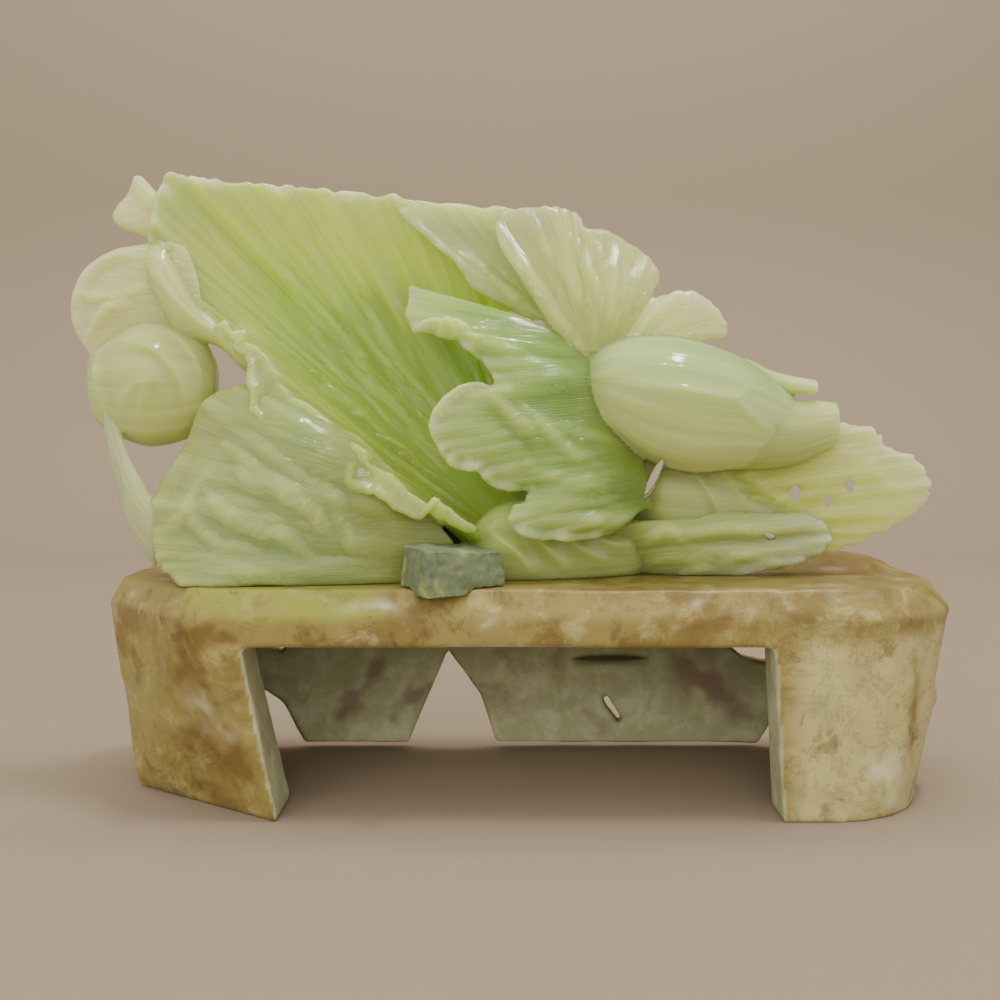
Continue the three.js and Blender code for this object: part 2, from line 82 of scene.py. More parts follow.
def cloud(points, seed=0):
    # Soft noise in -1..1: random values on a unit lattice, joined by 3f^2 - 2f^3 along each axis
    p = np.asarray(points, float) + 17.3 * seed
    cell = np.floor(p).astype(np.int64)
    f = p - cell
    f = f * f * (3 - 2 * f)
    total = np.zeros(p.shape[:-1])
    for dx in (0, 1):
        for dy in (0, 1):
            for dz in (0, 1):
                h = (cell[..., 0] + dx) * 374761393 + (cell[..., 1] + dy) * 668265263
                h = h + (cell[..., 2] + dz) * 2147483647 + seed * 974711
                h = (h ^ (h >> 13)) * 1274126177
                h = (h ^ (h >> 16)) & 0xFFFFFF
                weight = (f[..., 0] if dx else 1 - f[..., 0]) * (f[..., 1] if dy else 1 - f[..., 1])
                total += weight * (f[..., 2] if dz else 1 - f[..., 2]) * (h / 0x7FFFFF - 1)
    return total


def curveThrough(points, t):
    # q = (2 p1 + (p2 - p0) f + (2 p0 - 5 p1 + 4 p2 - p3) f^2 + (3 p1 - p0 - 3 p2 + p3) f^3) / 2
    p = np.asarray(points, float)
    p = p[:, None] if p.ndim == 1 else p
    if len(p) == 1:
        return np.repeat(p, len(t), axis=0)
    place = np.clip(t, 0, 1) * (len(p) - 1)
    i = np.minimum(place.astype(int), len(p) - 2)
    f = (place - i)[:, None]
    p = np.vstack([2 * p[0] - p[1], p, 2 * p[-1] - p[-2]])
    a, b, c, d = p[i], p[i + 1], p[i + 2], p[i + 3]
    return (2 * b + (c - a) * f + (2 * a - 5 * b + 4 * c - d) * f ** 2
            + (3 * b - a - 3 * c + d) * f ** 3) / 2


def onLine(x):
    # the points (x, 0, 0), for noise along one length
    return np.stack([x, 0 * x, 0 * x], axis=-1)


def onSheet(U, V, across, along):
    # the points (U across, V along, 0), for noise over a leaf
    return np.stack(np.broadcast_arrays(U * across, V * along, 0 * U * V), axis=-1)


def ovalPlace(a, b, oval):
    # ((a - a0) / ra)^2 + ((b - b0) / rb)^2 for an oval [a0, b0, ra, rb], so 1 is its edge
    return ((a - oval[0]) / oval[2]) ** 2 + ((b - oval[1]) / oval[3]) ** 2


# Meshes

def meshFrom(name, points, faces, attributes=None):
    # points (n, 3) in mm of the drawing; faces a list of (m, k) arrays of corners
    mesh = bpy.data.meshes.new(name)
    corners = np.concatenate([f.ravel() for f in faces]).astype(np.int32)
    sizes = np.concatenate([np.full(len(f), f.shape[1]) for f in faces]).astype(np.int32)
    mesh.vertices.add(len(points))
    mesh.loops.add(len(corners))
    mesh.polygons.add(len(sizes))
    mesh.vertices.foreach_set("co", ((points + shift) / 1000).astype(np.float32).ravel())
    mesh.loops.foreach_set("vertex_index", corners)
    starts = np.concatenate([[0], np.cumsum(sizes)[:-1]])
    mesh.polygons.foreach_set("loop_start", starts.astype(np.int32))
    mesh.update(calc_edges=True)
    mesh.validate()
    for key, values in (attributes or {}).items():
        layer = mesh.color_attributes.new(key, "FLOAT_COLOR", "POINT")
        layer.data.foreach_set("color", values.astype(np.float32).ravel())
    made = bpy.data.objects.new(name, mesh)
    bpy.context.scene.collection.objects.link(made)
    return made


def gridFaces(rows, columns, start=0, closed=False):
    # quads of a grid of rows x columns points, the columns joined end to end if closed
    across = columns if closed else columns - 1
    i, j = np.meshgrid(np.arange(rows - 1), np.arange(across), indexing="ij")
    k = (j + 1) % columns
    a, b = i * columns + j, i * columns + k
    return start + np.stack([a, b, b + columns, a + columns], axis=-1).reshape(-1, 4)


def slabFaces(rows, columns):
    # two grids of the same points, the second turned round, joined by quads round their edge
    count = rows * columns
    loop = np.concatenate([
        np.arange(columns), np.arange(1, rows) * columns + columns - 1,
        (rows - 1) * columns + np.arange(columns - 2, -1, -1), np.arange(rows - 2, 0, -1) * columns,
    ])
    after = np.roll(loop, -1)
    return [gridFaces(rows, columns), gridFaces(rows, columns, count)[:, ::-1],
            np.stack([loop, loop + count, after + count, after], axis=-1)]


def tubeFaces(rings, around):
    # rings of around points each, joined end to end and closed by a flat cap at each end
    first = np.arange(around)[None]
    return [gridFaces(rings, around, closed=True), first[:, ::-1], (rings - 1) * around + first]


def settle(source, name):
    # the object with its modifiers applied, as a new object
    view = bpy.context.evaluated_depsgraph_get()
    mesh = bpy.data.meshes.new_from_object(source.evaluated_get(view), depsgraph=view)
    made = bpy.data.objects.new(name, mesh)
    bpy.context.scene.collection.objects.link(made)
    return made


def vertices(made):
    points = np.empty(len(made.data.vertices) * 3, np.float32)
    normals = np.empty(len(made.data.vertices) * 3, np.float32)
    made.data.vertices.foreach_get("co", points)
    made.data.vertices.foreach_get("normal", normals)
    return points.reshape(-1, 3).astype(float) * 1000 - shift, normals.reshape(-1, 3).astype(float)


def setVertices(made, points):
    made.data.vertices.foreach_set("co", ((points + shift) / 1000).astype(np.float32).ravel())
    made.data.update()


def modify(made, kind, **settings):
    modifier = made.modifiers.new(kind.title(), kind)
    for key, value in settings.items():
        setattr(modifier, key, value)
    return modifier


def triangles(made):
    # a face of k corners counts as k - 2
    corners = np.empty(len(made.data.polygons), np.int32)
    made.data.polygons.foreach_get("loop_total", corners)
    return int(corners.sum()) - 2 * len(corners)


def discard(*things):
    for thing in things:
        bpy.data.objects.remove(thing, do_unlink=True)


def smoothed(made):
    made.data.shade_smooth()
    return made


# Polished jade
jade = {
    "veilSize": 26.0, "veil": 0.16, "milk": "#b4c98c",  # milky veils: size in mm, share, colour
    "warmth": 0.3, "honey": "#b9b258",                  # warmer clouds: share, colour
    "strokes": 7.0, "strokeBump": 0.8,                  # tool striations: closeness, strength
    "crestHighlight": 0.45, "pale": "#c6d183",                   # painted highlight along the folds' crests and flutes: share, colour
    "chip": "#dcdcae",                                  # broken rims
    "roughness": 0.09,
    "depth": 0.022,                                     # m, how far light wanders in the stone
}

# Each leaf runs from a root curve to a rim curve, in mm on the 344 mm carving: X along it, Y back
# from the stand's front and Z up from the stand's top. belly is how far its middle stands off,
# sideFlat how much less it does at the sides, and facing the side that the relief stands out on.
# ribs are [height, count], with rimShare of their height left at the rim; ruffle [height, waves,
# phase]; crease and flutes [height, count across, count along]; frill [height, waves, depth of the
# frilled edge]; jag is how rough the broken edge is, chipped how pale, and calm the share of the
# rim, from its start, that is smooth and whole. rollDegrees and rollRadius turn the rim over, at
# even steps along it. veins are drawn folds, each [height, width, line of X and Z], a groove where
# the height is under 0. size is the grid's steps [across, along], thick the thickness [root, rim],
# and tones run from root to rim.
leaves = {
    "scoop": dict(
        root=[[-6, 46, 12], [8, 58, 8], [14, 60, 22]],
        rim=[
            [-9, 22, 21], [-23, 20, 27], [-37, 20, 36], [-50, 22, 46], [-58, 24, 54],
            [-68, 27, 62], [-78, 30, 70], [-88, 33, 79], [-95, 37, 88], [-103, 40, 95],
            [-111, 43, 100], [-118, 46, 109], [-124, 48, 118], [-131, 50, 128], [-137, 52, 137],
            [-138, 58, 151], [-136, 62, 163], [-122, 64, 161], [-103, 66, 160], [-78, 66, 158],
            [-45, 68, 154], [-25, 70, 151], [-4, 70, 148], [2, 66, 124],
        ],
        belly=[0, 18, -2], sideFlat=0.2, ribs=[0.3, 13], crease=[1.0, 26, 1.8],
        flutes=[1.7, 60, 1.3], frill=[0.9, 23, 7],
        jag=2.8, calm=0.62, chipped=0.8,
        rollDegrees=[50, 60, 60, 65, 75, 80, 75, 62, 70, 70, 70, 70, 60, 60, 50, 20, 10, 10, 10, 10,
            10, 10, 5, 5],
        rollRadius=[2, 5, 9, 9.5, 3.5, 5, 12, 13, 5.5, 3, 3, 3, 3, 3, 3, 3, 3, 3, 3, 3, 3, 3, 3, 3],
        veins=[
            [1.2, 1.4, [[-122, 146], [-116, 135], [-109, 127], [-101, 118], [-82, 92]]],
            [1.0, 1.3, [[-97, 150], [-92, 132], [-78, 100], [-65, 75]]],
            [1.0, 1.2, [[-81, 146], [-77, 132], [-63, 100], [-53, 71]]],
            [0.9, 1.2, [[-63, 146], [-61, 128], [-51, 100], [-41, 63]]],
            [0.9, 1.4, [[-47, 140], [-46, 120], [-39, 96], [-33, 59]]],
            [2.0, 4.0, [[-107, 100], [-102, 97], [-97, 91]]],
        ],
        size=[400, 130], thick=[12, 2.5],
        tones=["#92ad33", "#95b035", "#92b134", "#93b435", "#99b83b", "#a9bf51", "#9fb55c"],
    ),
    "lowerLeft": dict(
        root=[[-62, 32, 52], [-42, 30, 34], [-22, 36, 16], [-16, 42, 2]],
        rim=[
            [-90, 38, 68], [-103, 42, 74], [-116, 44, 68], [-123, 42, 52], [-131, 38, 39],
            [-135, 34, 28], [-134, 30, 17], [-130, 24, 7], [-120, 16, -2],
        ],
        belly=[0, -13, 0], ribs=[0.8, 3], crease=[1.7, 8, 2.0], flutes=[0.8, 14, 2.0],
        frill=[0.6, 5, 10], jag=0.4,
        veins=[
            [2.0, 1.5,
                [[-112, 37], [-109, 32], [-104, 28], [-98, 24], [-90, 21], [-83, 20], [-78, 17],
                    [-71, 9]]],
            [1.7, 1.3, [[-118, 30], [-116, 24], [-110, 18], [-104, 14], [-98, 14], [-89, 10]]],
            [1.9, 1.2,
                [[-90, 42], [-85, 38], [-80, 35], [-74, 31], [-70, 28], [-68, 24], [-63, 18]]],
            [1.4, 1.1, [[-64, 28], [-60, 22], [-56, 14]]],
            [1.4, 1.1, [[-94, 55], [-84, 48], [-77, 43], [-69, 37], [-60, 29]]],
            [1.5, 1.2, [[-105, 52], [-102, 51], [-93, 44], [-88, 38]]],
            [1.6, 1.4, [[-134, 17], [-125, 21], [-119, 28], [-114, 37], [-108, 43]]],
            [1.4, 1.4, [[-93, 44], [-97, 42], [-92, 38], [-86, 38]]],
            [1.3, 2.2, [[-112, 10], [-100, 6], [-87, 4], [-74, 2]]],
            [-1.8, 2.0, [[-116, 50], [-121, 38], [-128, 28]]],
            [-1.7, 1.6, [[-96, 60], [-81, 48], [-64, 36], [-44, 20]]],
            [-1.4, 1.7, [[-104, 38], [-94, 32], [-84, 28], [-76, 22]]],
        ],
        size=[240, 150], thick=[18, 8],
        tones=["#8c984b", "#8f9d54", "#92a662", "#93a35c", "#9ba65e"],
    ),
    "ruffled": dict(
        root=[[26, 47, 96], [38, 43, 76], [52, 44, 46], [56, 46, 26]],
        rim=[
            [-36, 58, 117], [-35, 44, 101], [-23, 37, 96], [-14, 34, 95], [-5, 32, 86],
            [-2, 28, 76], [-12, 27, 72], [-22, 25, 63], [-21, 24, 54], [-15, 24, 49],
            [-7, 24, 48], [0, 25, 40], [13, 27, 38], [12, 25, 33], [6, 23, 28], [9, 22, 23],
            [27, 25, 21], [45, 32, 20],
        ],
        belly=[0, -8, 0], sideFlat=0.3, crease=[1.2, 10, 2.0], flutes=[0.6, 22, 1.6],
        frill=[1.1, 26, 6], jag=1.0,
        rollDegrees=[10, 30, 70, 60, 40, 20, 60, 60, 50, 60, 70, 60, 50, 40, 40, 60, 60, 30],
        rollRadius=[3, 4, 6, 5, 3, 3, 5, 5, 4, 6, 6, 4, 3, 3, 3, 5, 5, 3],
        veins=[
            [2.4, 2.6, [[-4, 73], [5, 64], [13, 58]]],
            [1.6, 2.0, [[6, 69], [10, 65], [18, 58], [26, 50], [33, 47]]],
            [1.0, 2.2, [[20, 60], [33, 56], [45, 52]]],
            [1.4, 2.4, [[10, 44], [27, 39], [41, 39]]],
            [1.2, 2.4, [[18, 30], [30, 31], [45, 33]]],
            [1.2, 2.4, [[14, 25], [33, 24], [50, 24]]],
            [1.2, 2.0, [[-32, 99], [-16, 97], [-8, 93]]],
            [1.4, 2.6, [[-14, 94], [-4, 80], [4, 72]]],
            [-1.6, 2.6, [[-6, 66], [4, 58], [12, 50], [16, 42]]],
            [-1.4, 3.0, [[-8, 100], [4, 92], [18, 86], [30, 84]]],
        ],
        size=[320, 110], thick=[12, 2.3],
        tones=["#76963a", "#77973b", "#809e44", "#91ab55", "#a4ba6c"],
    ),
    "inner": dict(
        root=[[29, 52, 94], [33, 49, 91], [36, 49, 88]],
        rim=[
            [-13, 60, 117], [-19, 61, 129], [-31, 64, 140], [-42, 67, 150], [-25, 68, 152],
            [0, 66, 150], [22, 63, 148],
        ],
        belly=[0, 5, 0], crease=[1.4, 7, 2], flutes=[0.8, 20, 1.2], frill=[0.6, 9, 6], jag=2.2,
        veins=[
            [-1.6, 2.2, [[-12, 119], [-4, 108], [5, 104], [16, 100], [28, 94]]],
            [1.2, 3.0, [[-14, 132], [-2, 118], [10, 110]]],
        ],
        size=[150, 80], thick=[8, 2.8],
        tones=["#afc167", "#aec268", "#acbf6c", "#b0c276", "#b9c980"],
    ),
    "fan": dict(
        root=[[31, 44, 86], [37, 42, 90], [45, 44, 91]],
        rim=[
            [6, 54, 125], [-1, 57, 137], [0, 60, 146], [18, 61, 149], [30, 61, 147],
            [34, 55, 140], [43, 59, 139], [57, 59, 131], [63, 57, 124], [62, 54, 117],
            [52, 50, 110],
        ],
        belly=[0, -5, 0], ribs=[1.2, 5], rimShare=0.8, ruffle=[1.6, 4, 0], crease=[0.9, 16, 1.4],
        flutes=[0.8, 30, 1.2],
        frill=[1.0, 14, 8], jag=1.3,
        veins=[
            [2.0, 2.2, [[2, 129], [11, 120], [19, 107], [28, 96], [36, 87]]],
            [1.8, 2.0, [[28, 136], [34, 124], [39, 111], [40, 94]]],
            [1.6, 1.8, [[38, 134], [42, 121], [42, 100]]],
            [1.2, 2.0, [[17, 132], [28, 117], [35, 100]]],
            [1.2, 2.0, [[48, 133], [45, 119], [42, 98]]],
            [1.4, 2.2, [[58, 126], [49, 113], [43, 96]]],
            [-2.0, 1.8, [[28, 148], [31, 141], [35, 130], [38, 116]]],
            [-1.4, 1.8, [[8, 140], [20, 122], [32, 100]]],
        ],
        size=[220, 90], thick=[9, 2.3],
        tones=["#adb65c", "#b4bd65", "#b5bf6b", "#b3bf6e", "#bac57b"],
    ),
    "smallFan": dict(
        root=[[44, 45, 86], [52, 45, 88]],
        rim=[
            [48, 50, 103], [56, 50, 109], [76, 49, 114], [83, 50, 109], [91, 52, 102],
            [90, 52, 96], [76, 50, 98], [62, 47, 90],
        ],
        belly=[0, -3, 2], ribs=[1.2, 3], rimShare=0.8, crease=[1.3, 7, 1.6], flutes=[0.7, 16, 1],
        frill=[0.7, 8, 5], jag=1.9,
        size=[130, 60], thick=[8, 2.6],
        tones=["#bdc36d", "#c8cd7c", "#cfd386", "#d4d890", "#dadd9b"],
    ),
    "endLeaf": dict(
        root=[[66, 56, 44], [68, 60, 26], [66, 66, 6]],
        rim=[
            [132, 56, 60], [150, 58, 59], [162, 58, 51], [173, 60, 44], [176, 60, 34],
            [168, 60, 23], [152, 60, 15], [134, 60, 9], [118, 62, 3],
        ],
        belly=[0, -7, 0], ribs=[0.9, 4], crease=[1.9, 9, 2.4], flutes=[0.7, 16, 2.0],
        frill=[0.8, 11, 9], jag=3.0,
        veins=[
            [3.0, 2.4, [[76, 44], [81, 38], [86, 29], [90, 23]]],
            [2.6, 2.2, [[86, 45], [91, 39], [97, 32], [105, 26]]],
            [2.2, 2.2, [[96, 45], [104, 38], [114, 31], [124, 27]]],
            [1.6, 2.6, [[146, 45], [161, 34], [172, 29]]],
            [1.2, 2.6, [[116, 50], [134, 50], [152, 46]]],
            [1.0, 2.6, [[115, 22], [139, 24], [166, 25]]],
            [-1.4, 2.4, [[100, 40], [112, 30], [128, 22]]],
        ],
        size=[200, 130], thick=[8, 2.8],
        tones=["#a1af4e", "#aeb85a", "#b4bd62", "#bdc674", "#cbd590"],
    ),
    "lowLeaf": dict(
        root=[[44, 46, 22], [48, 56, 8], [52, 64, 0]],
        rim=[[118, 50, 24], [130, 50, 22], [133, 50, 13], [121, 50, 6], [96, 50, 1]],
        belly=[0, -5, 0], ribs=[1.6, 3], crease=[2.0, 7, 2.6], flutes=[0.9, 12, 2.0],
        frill=[1.4, 7, 8], jag=1.4,
        veins=[
            [2.6, 1.9, [[73, 17], [90, 20], [105, 19], [130, 22]]],
            [-1.8, 2.2, [[70, 13], [90, 15], [108, 14], [126, 16]]],
            [2.6, 2.2, [[88, 6], [99, 9], [112, 5]]],
            [2.2, 2.0, [[57, 14], [67, 19], [78, 12]]],
            [1.6, 2.0, [[60, 6], [72, 9], [84, 5]]],
        ],
        size=[140, 120], thick=[8, 2.8],
        tones=["#a2b15e", "#a8b767", "#abbb70", "#b1c080", "#bccb90"],
    ),
    "curl": dict(
        root=[[-127, 54, 131], [-120, 50, 114], [-121, 47, 100]],
        rim=[
            [-135, 56, 133], [-146, 54, 132], [-156, 52, 129], [-165, 50, 123], [-169, 48, 114],
            [-170, 46, 105], [-167, 46, 95], [-162, 46, 88],
        ],
        belly=[0, -3, 0], crease=[1.0, 4, 2], frill=[0.3, 4, 6], jag=0.3,
        veins=[
            [2.2, 1.3, [[-138, 131], [-152, 129], [-163, 122], [-168, 110], [-167, 96]]],
            [-2.2, 2.0, [[-140, 126], [-152, 124], [-160, 118], [-164, 108], [-163, 98]]],
            [3.0, 1.9, [[-165, 92], [-159, 101], [-154, 107], [-146, 108]]],
            [2.8, 1.8, [[-167, 107], [-166, 112], [-159, 111], [-148, 112], [-140, 116]]],
            [-1.8, 1.8, [[-162, 106], [-154, 110], [-144, 111]]],
            [1.6, 2.0, [[-160, 125], [-151, 128], [-139, 125]]],
        ],
        size=[140, 80], thick=[8, 2.4],
        tones=["#b8bc70", "#bdbf77", "#c2c27f", "#c8c888", "#d0d097"],
    ),
    "tip": dict(
        root=[[-136, 60, 133], [-134, 60, 150]],
        rim=[
            [-146, 64, 139], [-153, 68, 141.5], [-160, 70, 147.5], [-155, 72, 154],
            [-151, 73, 164], [-147, 72, 157], [-142, 70, 151],
        ],
        belly=[0, -2, 0], crease=[0.8, 4, 1], frill=[0.8, 5, 6], jag=1.5,
        size=[80, 40], thick=[7, 3], tones=["#c0c477", "#c4c87e", "#c8cc86", "#ccd08d", "#d3d697"],
    ),
    "backLeft": dict(
        root=[[20, 94, 22], [30, 90, 8], [30, 84, -4]],
        rim=[
            [-30, 82, 124], [-58, 82, 120], [-82, 80, 102], [-94, 78, 80], [-108, 76, 56],
            [-128, 76, 36], [-130, 86, 16], [-120, 90, 2], [-94, 92, -4],
        ],
        facing=[0, 1, 0],
        belly=[0, 16, 0], ribs=[2.4, 5], crease=[1.6, 8, 1.6], frill=[1.6, 9, 12], jag=0.6,
        size=[180, 110], thick=[10, 3.4],
        tones=["#8ba846", "#91ae51", "#99b75e", "#a6c170", "#b6cf85"],
    ),
    "backRight": dict(
        root=[[-34, 92, 8], [-24, 96, 24], [-22, 90, 44]],
        rim=[[60, 88, -2], [86, 84, 10], [98, 78, 30], [96, 74, 54], [78, 72, 78], [50, 72, 90],
            [18, 80, 90]],
        facing=[0, 1, 0],
        belly=[0, 14, 0], ribs=[2.4, 4], crease=[1.6, 7, 1.6], frill=[1.6, 8, 12], jag=0.6,
        size=[160, 110], thick=[10, 3.4],
        tones=["#8daa48", "#93b053", "#9cb95f", "#a8c270", "#b8d087"],
    ),
}

# Smooth swellings: stations [x, y, z, depth radius, height radius], and tones along them, or from
# bottom to top where upright.
swellings = {
    "heart": dict(stations=[
        [-136, 56, 20, 4, 6], [-126, 56, 22, 17, 27], [-104, 58, 26, 23, 38],
        [-84, 61, 25, 28, 36], [-70, 68, 21, 35, 31], [-58, 70, 16, 36, 24],
        [-46, 73, 12, 31, 20], [-34, 78, 10, 27, 20], [-10, 82, 12, 22, 22], [20, 82, 14, 24, 24],
        [52, 81, 12, 23, 19], [84, 80, 4, 16, 10], [104, 78, 0, 4, 4],
    ], tones=["#a0aa6c", "#93a04a"]),
    "backCore": dict(stations=[
        [-98, 82, 44, 4, 8], [-82, 86, 44, 5, 26], [-40, 90, 50, 5.5, 36], [0, 90, 48, 5.5, 32],
        [24, 89, 48, 4.5, 22], [36, 88, 48, 2, 8],
    ], tones=["#95a24a", "#95a24a"]),
    "middleCore": dict(stations=[
        [6, 66, 50, 4, 12], [22, 68, 52, 17, 32], [44, 68, 54, 19.5, 34], [60, 66, 50, 17, 28],
        [74, 64, 44, 6, 12],
    ], tones=["#93a04a", "#9ca655"]),
    # endCore: tones painted lighter to lift the shade it lies in below the bulb
    "endCore": dict(stations=[
        [52, 62, 30, 5, 10], [67, 60, 30, 13, 20], [86, 58, 28, 12, 20], [104, 58, 23, 9, 15],
        [122, 58, 17, 6, 9], [134, 58, 14, 3, 4],
    ], tones=["#a9b66a", "#b4ba72"], veins=[
        [2.2, 2.2, [[70, 44], [79, 40], [85, 31], [90, 22]]],
        [2.2, 2.2, [[82, 45], [89, 41], [96, 33], [104, 26]]],
        [-1.6, 2.4, [[76, 42], [83, 32], [88, 20]]],
        [1.8, 2.2, [[100, 36], [110, 30], [120, 24]]],
    ]),
    # foot: tones painted lighter to lift the shade it lies in
    "foot": dict(stations=[
        [-16, 48, 8, 4, 6], [0, 48, 10, 17, 19], [28, 54, 11, 20, 19], [52, 58, 10, 12, 14],
        [62, 60, 8, 3, 5],
    ], veins=[
        [3.0, 2.0, [[-6, 20], [6, 12], [14, 2]]], [2.6, 1.8, [[6, 24], [17, 14], [28, 4]]],
        [2.6, 1.8, [[20, 24], [31, 13], [44, 6]]], [-1.8, 2.4, [[2, 22], [12, 12], [22, 3]]],
        [2.8, 2.0, [[34, 20], [44, 14], [56, 12]]], [-1.6, 2.4, [[30, 22], [42, 18], [56, 18]]],
    ], tones=["#a9b865", "#adb86e"]),
    # bulb: the lower tones are its paler underside, painted lighter still to lift the shade there
    "bulb": dict(stations=[
        [33, 44, 78, 3, 4], [37, 43, 77, 12, 12], [46, 42, 75, 21, 19], [60, 42, 71, 26, 25],
        [76, 42, 68, 27, 26], [92, 43, 66, 24, 23], [104, 45, 63, 19, 19], [116, 47, 60, 11, 13],
        [122, 48, 60, 3, 4],
    ], upright=True, tones=["#d4dc98", "#bccb80", "#9fb877"], veins=[
        [1.9, 1.2, [[44, 76], [58, 75], [69, 74], [80, 72], [88, 71], [94, 74], [106, 75]]],
        [1.7, 1.3, [[88, 71], [93, 67], [98, 62], [106, 58]]],
        [-1.0, 3.0, [[38, 84], [52, 90], [70, 91], [90, 84]]],
        [-0.8, 3.0, [[37, 70], [50, 63], [68, 58], [90, 56]]],
        [1.0, 1.6, [[34, 79], [46, 82], [62, 83]]], [0.9, 1.6, [[34, 77], [46, 70], [60, 67]]],
    ]),
    "seam": dict(stations=[
        [22, 50, 90, 3, 4], [27, 48, 86, 8, 11], [33, 47, 80, 10, 18], [39, 48, 72, 10, 20],
        [46, 52, 62, 6, 12],
    ], tones=["#a3b860", "#a6b96a"]),
    "upperEnd": dict(stations=[
        [84, 44, 79, 12, 12], [98, 45, 79.5, 9, 7.5], [107, 46, 78.4, 7, 4.4],
        [116, 47, 76.8, 6, 3.6], [126, 47, 75.7, 5.5, 3],
    ], tones=["#a6be7c", "#cdd497"]),
    "lowerEnd": dict(stations=[
        [92, 44, 62, 22, 19], [106, 46, 58.5, 18, 15.5], [118, 47, 58, 13, 13],
        [128, 48, 60, 9, 10.5], [135, 49, 61, 7, 8.5],
    ], tones=["#b5c072", "#b8c078", "#ccd18f"]),
    "shoulder": dict(stations=[
        [-146, 56, 120, 5, 9], [-141, 55, 119, 9, 14], [-135, 53, 116, 11, 17],
        [-128, 51, 108, 11, 15], [-120, 48, 101.5, 8, 7.5], [-111, 46, 96, 6, 5],
        [-102, 43, 88, 5, 5.4], [-97, 41, 84, 2, 3],
    ], tones=["#c4ca86", "#bfc67c", "#b7c576"], veins=[
        [1.4, 2.0, [[-139, 128], [-132, 116], [-123, 106], [-113, 97]]],
        [1.2, 1.8, [[-137, 116], [-130, 107], [-124, 101]]],
        [-1.2, 2.2, [[-141, 124], [-134, 112], [-126, 103]]],
    ]),
    "ball": dict(stations=[
        [-166, 52, 78, 4, 8], [-160, 51, 78, 10, 18], [-141, 49, 78, 15, 26],
        [-122, 51, 78, 11, 21], [-114, 52, 77, 5, 9],
    ], tones=["#c4ca88", "#bec779", "#c0c87b"], veins=[
        [1.7, 1.1, [[-136, 100], [-128, 96], [-121, 88], [-117, 78]]],
        [-1.0, 1.8, [[-137, 96], [-129, 92], [-123, 85], [-120, 76]]],
        [1.6, 1.1, [[-150, 94], [-139, 92], [-131, 87], [-125, 78], [-123, 68]]],
        [-1.0, 1.8, [[-149, 90], [-139, 88], [-132, 83], [-128, 75], [-127, 66]]],
        [1.5, 1.2, [[-152, 60], [-149, 69], [-142, 77], [-133, 79]]],
        [1.2, 1.2, [[-134, 81], [-139, 73], [-142, 62]]],
        [-1.0, 2.2, [[-150, 98], [-155, 86], [-153, 70], [-144, 55]]],
        [1.6, 1.2, [[-158, 92], [-160, 80], [-157, 66]]],
    ]),
    "strip": dict(stations=[
        [-157, 46, 66, 5, 12], [-151, 42, 46, 4, 15], [-145, 36, 33, 4, 15], [-134, 31, 17, 5, 13],
    ], tones=["#bcc092", "#b2b886"]),
}

# Openings through the leaves: middle in X and Z at the depth given, width, height, lean in degrees.
openingDepth = 50.0
openings = [
    [62, 39, 3.5, 18, 24], [119, 33, 4, 7, 0], [132, 30, 3, 5, -10], [141, 36, 3.5, 6, -15],
    [109, 16, 5, 3, 20], [15.5, 102, 6, 3, 10],
]


def toneAt(codes, t):
    # the colours in codes, evenly spaced over t 0..1 and joined by straight lines
    table = np.array([colour(code)[:3] for code in codes])
    stops = np.linspace(0, 1, len(codes))
    return np.stack([np.interp(t, stops, table[:, k]) for k in range(3)], axis=-1)


def relief(P, veins):
    # sum of height exp(-(d / width)^1.1) sqrt(sin(pi t)), d the distance in X and Z from the drawn
    # line and t its share of the line's length at the nearest point
    total = np.zeros(P.shape[:-1])
    flat = P[..., [0, 2]]
    for height, width, line in veins:
        dots = curveThrough(line, np.linspace(0, 1, 25))
        nearest, place = np.full(total.shape, 1e9), np.zeros(total.shape)
        for k in range(24):
            a, b = dots[k], dots[k + 1] - dots[k]
            t = np.clip(((flat - a) @ b) / max(b @ b, 1e-9), 0, 1)
            d = np.linalg.norm(flat - a - t[..., None] * b, axis=-1)
            place = np.where(d < nearest, (k + t) / 24, place)
            nearest = np.minimum(nearest, d)
        fade = np.sqrt(np.maximum(np.sin(np.pi * place), 0))
        total += height * np.exp(-((nearest / width) ** 1.1)) * fade
    return total


def fluteLines(leaf, U, V, seed):
    # narrow crests max(1 - 3.5 |noise|, 0)^1.5 along the leaf, with a finer set near its rim
    spot = onSheet(U, V, *leaf["flutes"][1:])
    wide = np.maximum(1 - 3.5 * np.abs(cloud(spot, seed + 6)), 0) ** 1.5 * ease(V, 0.1, 0.4)
    fine = np.maximum(1 - 3 * np.abs(cloud(spot * [2.4, 1.5, 1], seed + 10)), 0) * ease(V, 0.3, 0.7)
    return wide + 0.3 * fine


def paintedCrestHighlight(leaf, P, U, V, seed):
    # share of the painted highlight along the crests: half of the folds drawn half as wide,
    # and 0.35 of the flutes
    thin = [[height, 0.5 * width, line] for height, width, line in leaf.get("veins", [])]
    share = relief(P, thin) / 2
    if "flutes" in leaf:
        share = share + 0.35 * fluteLines(leaf, U, np.minimum(V, 1), seed)
    return np.clip(share, 0, 1)


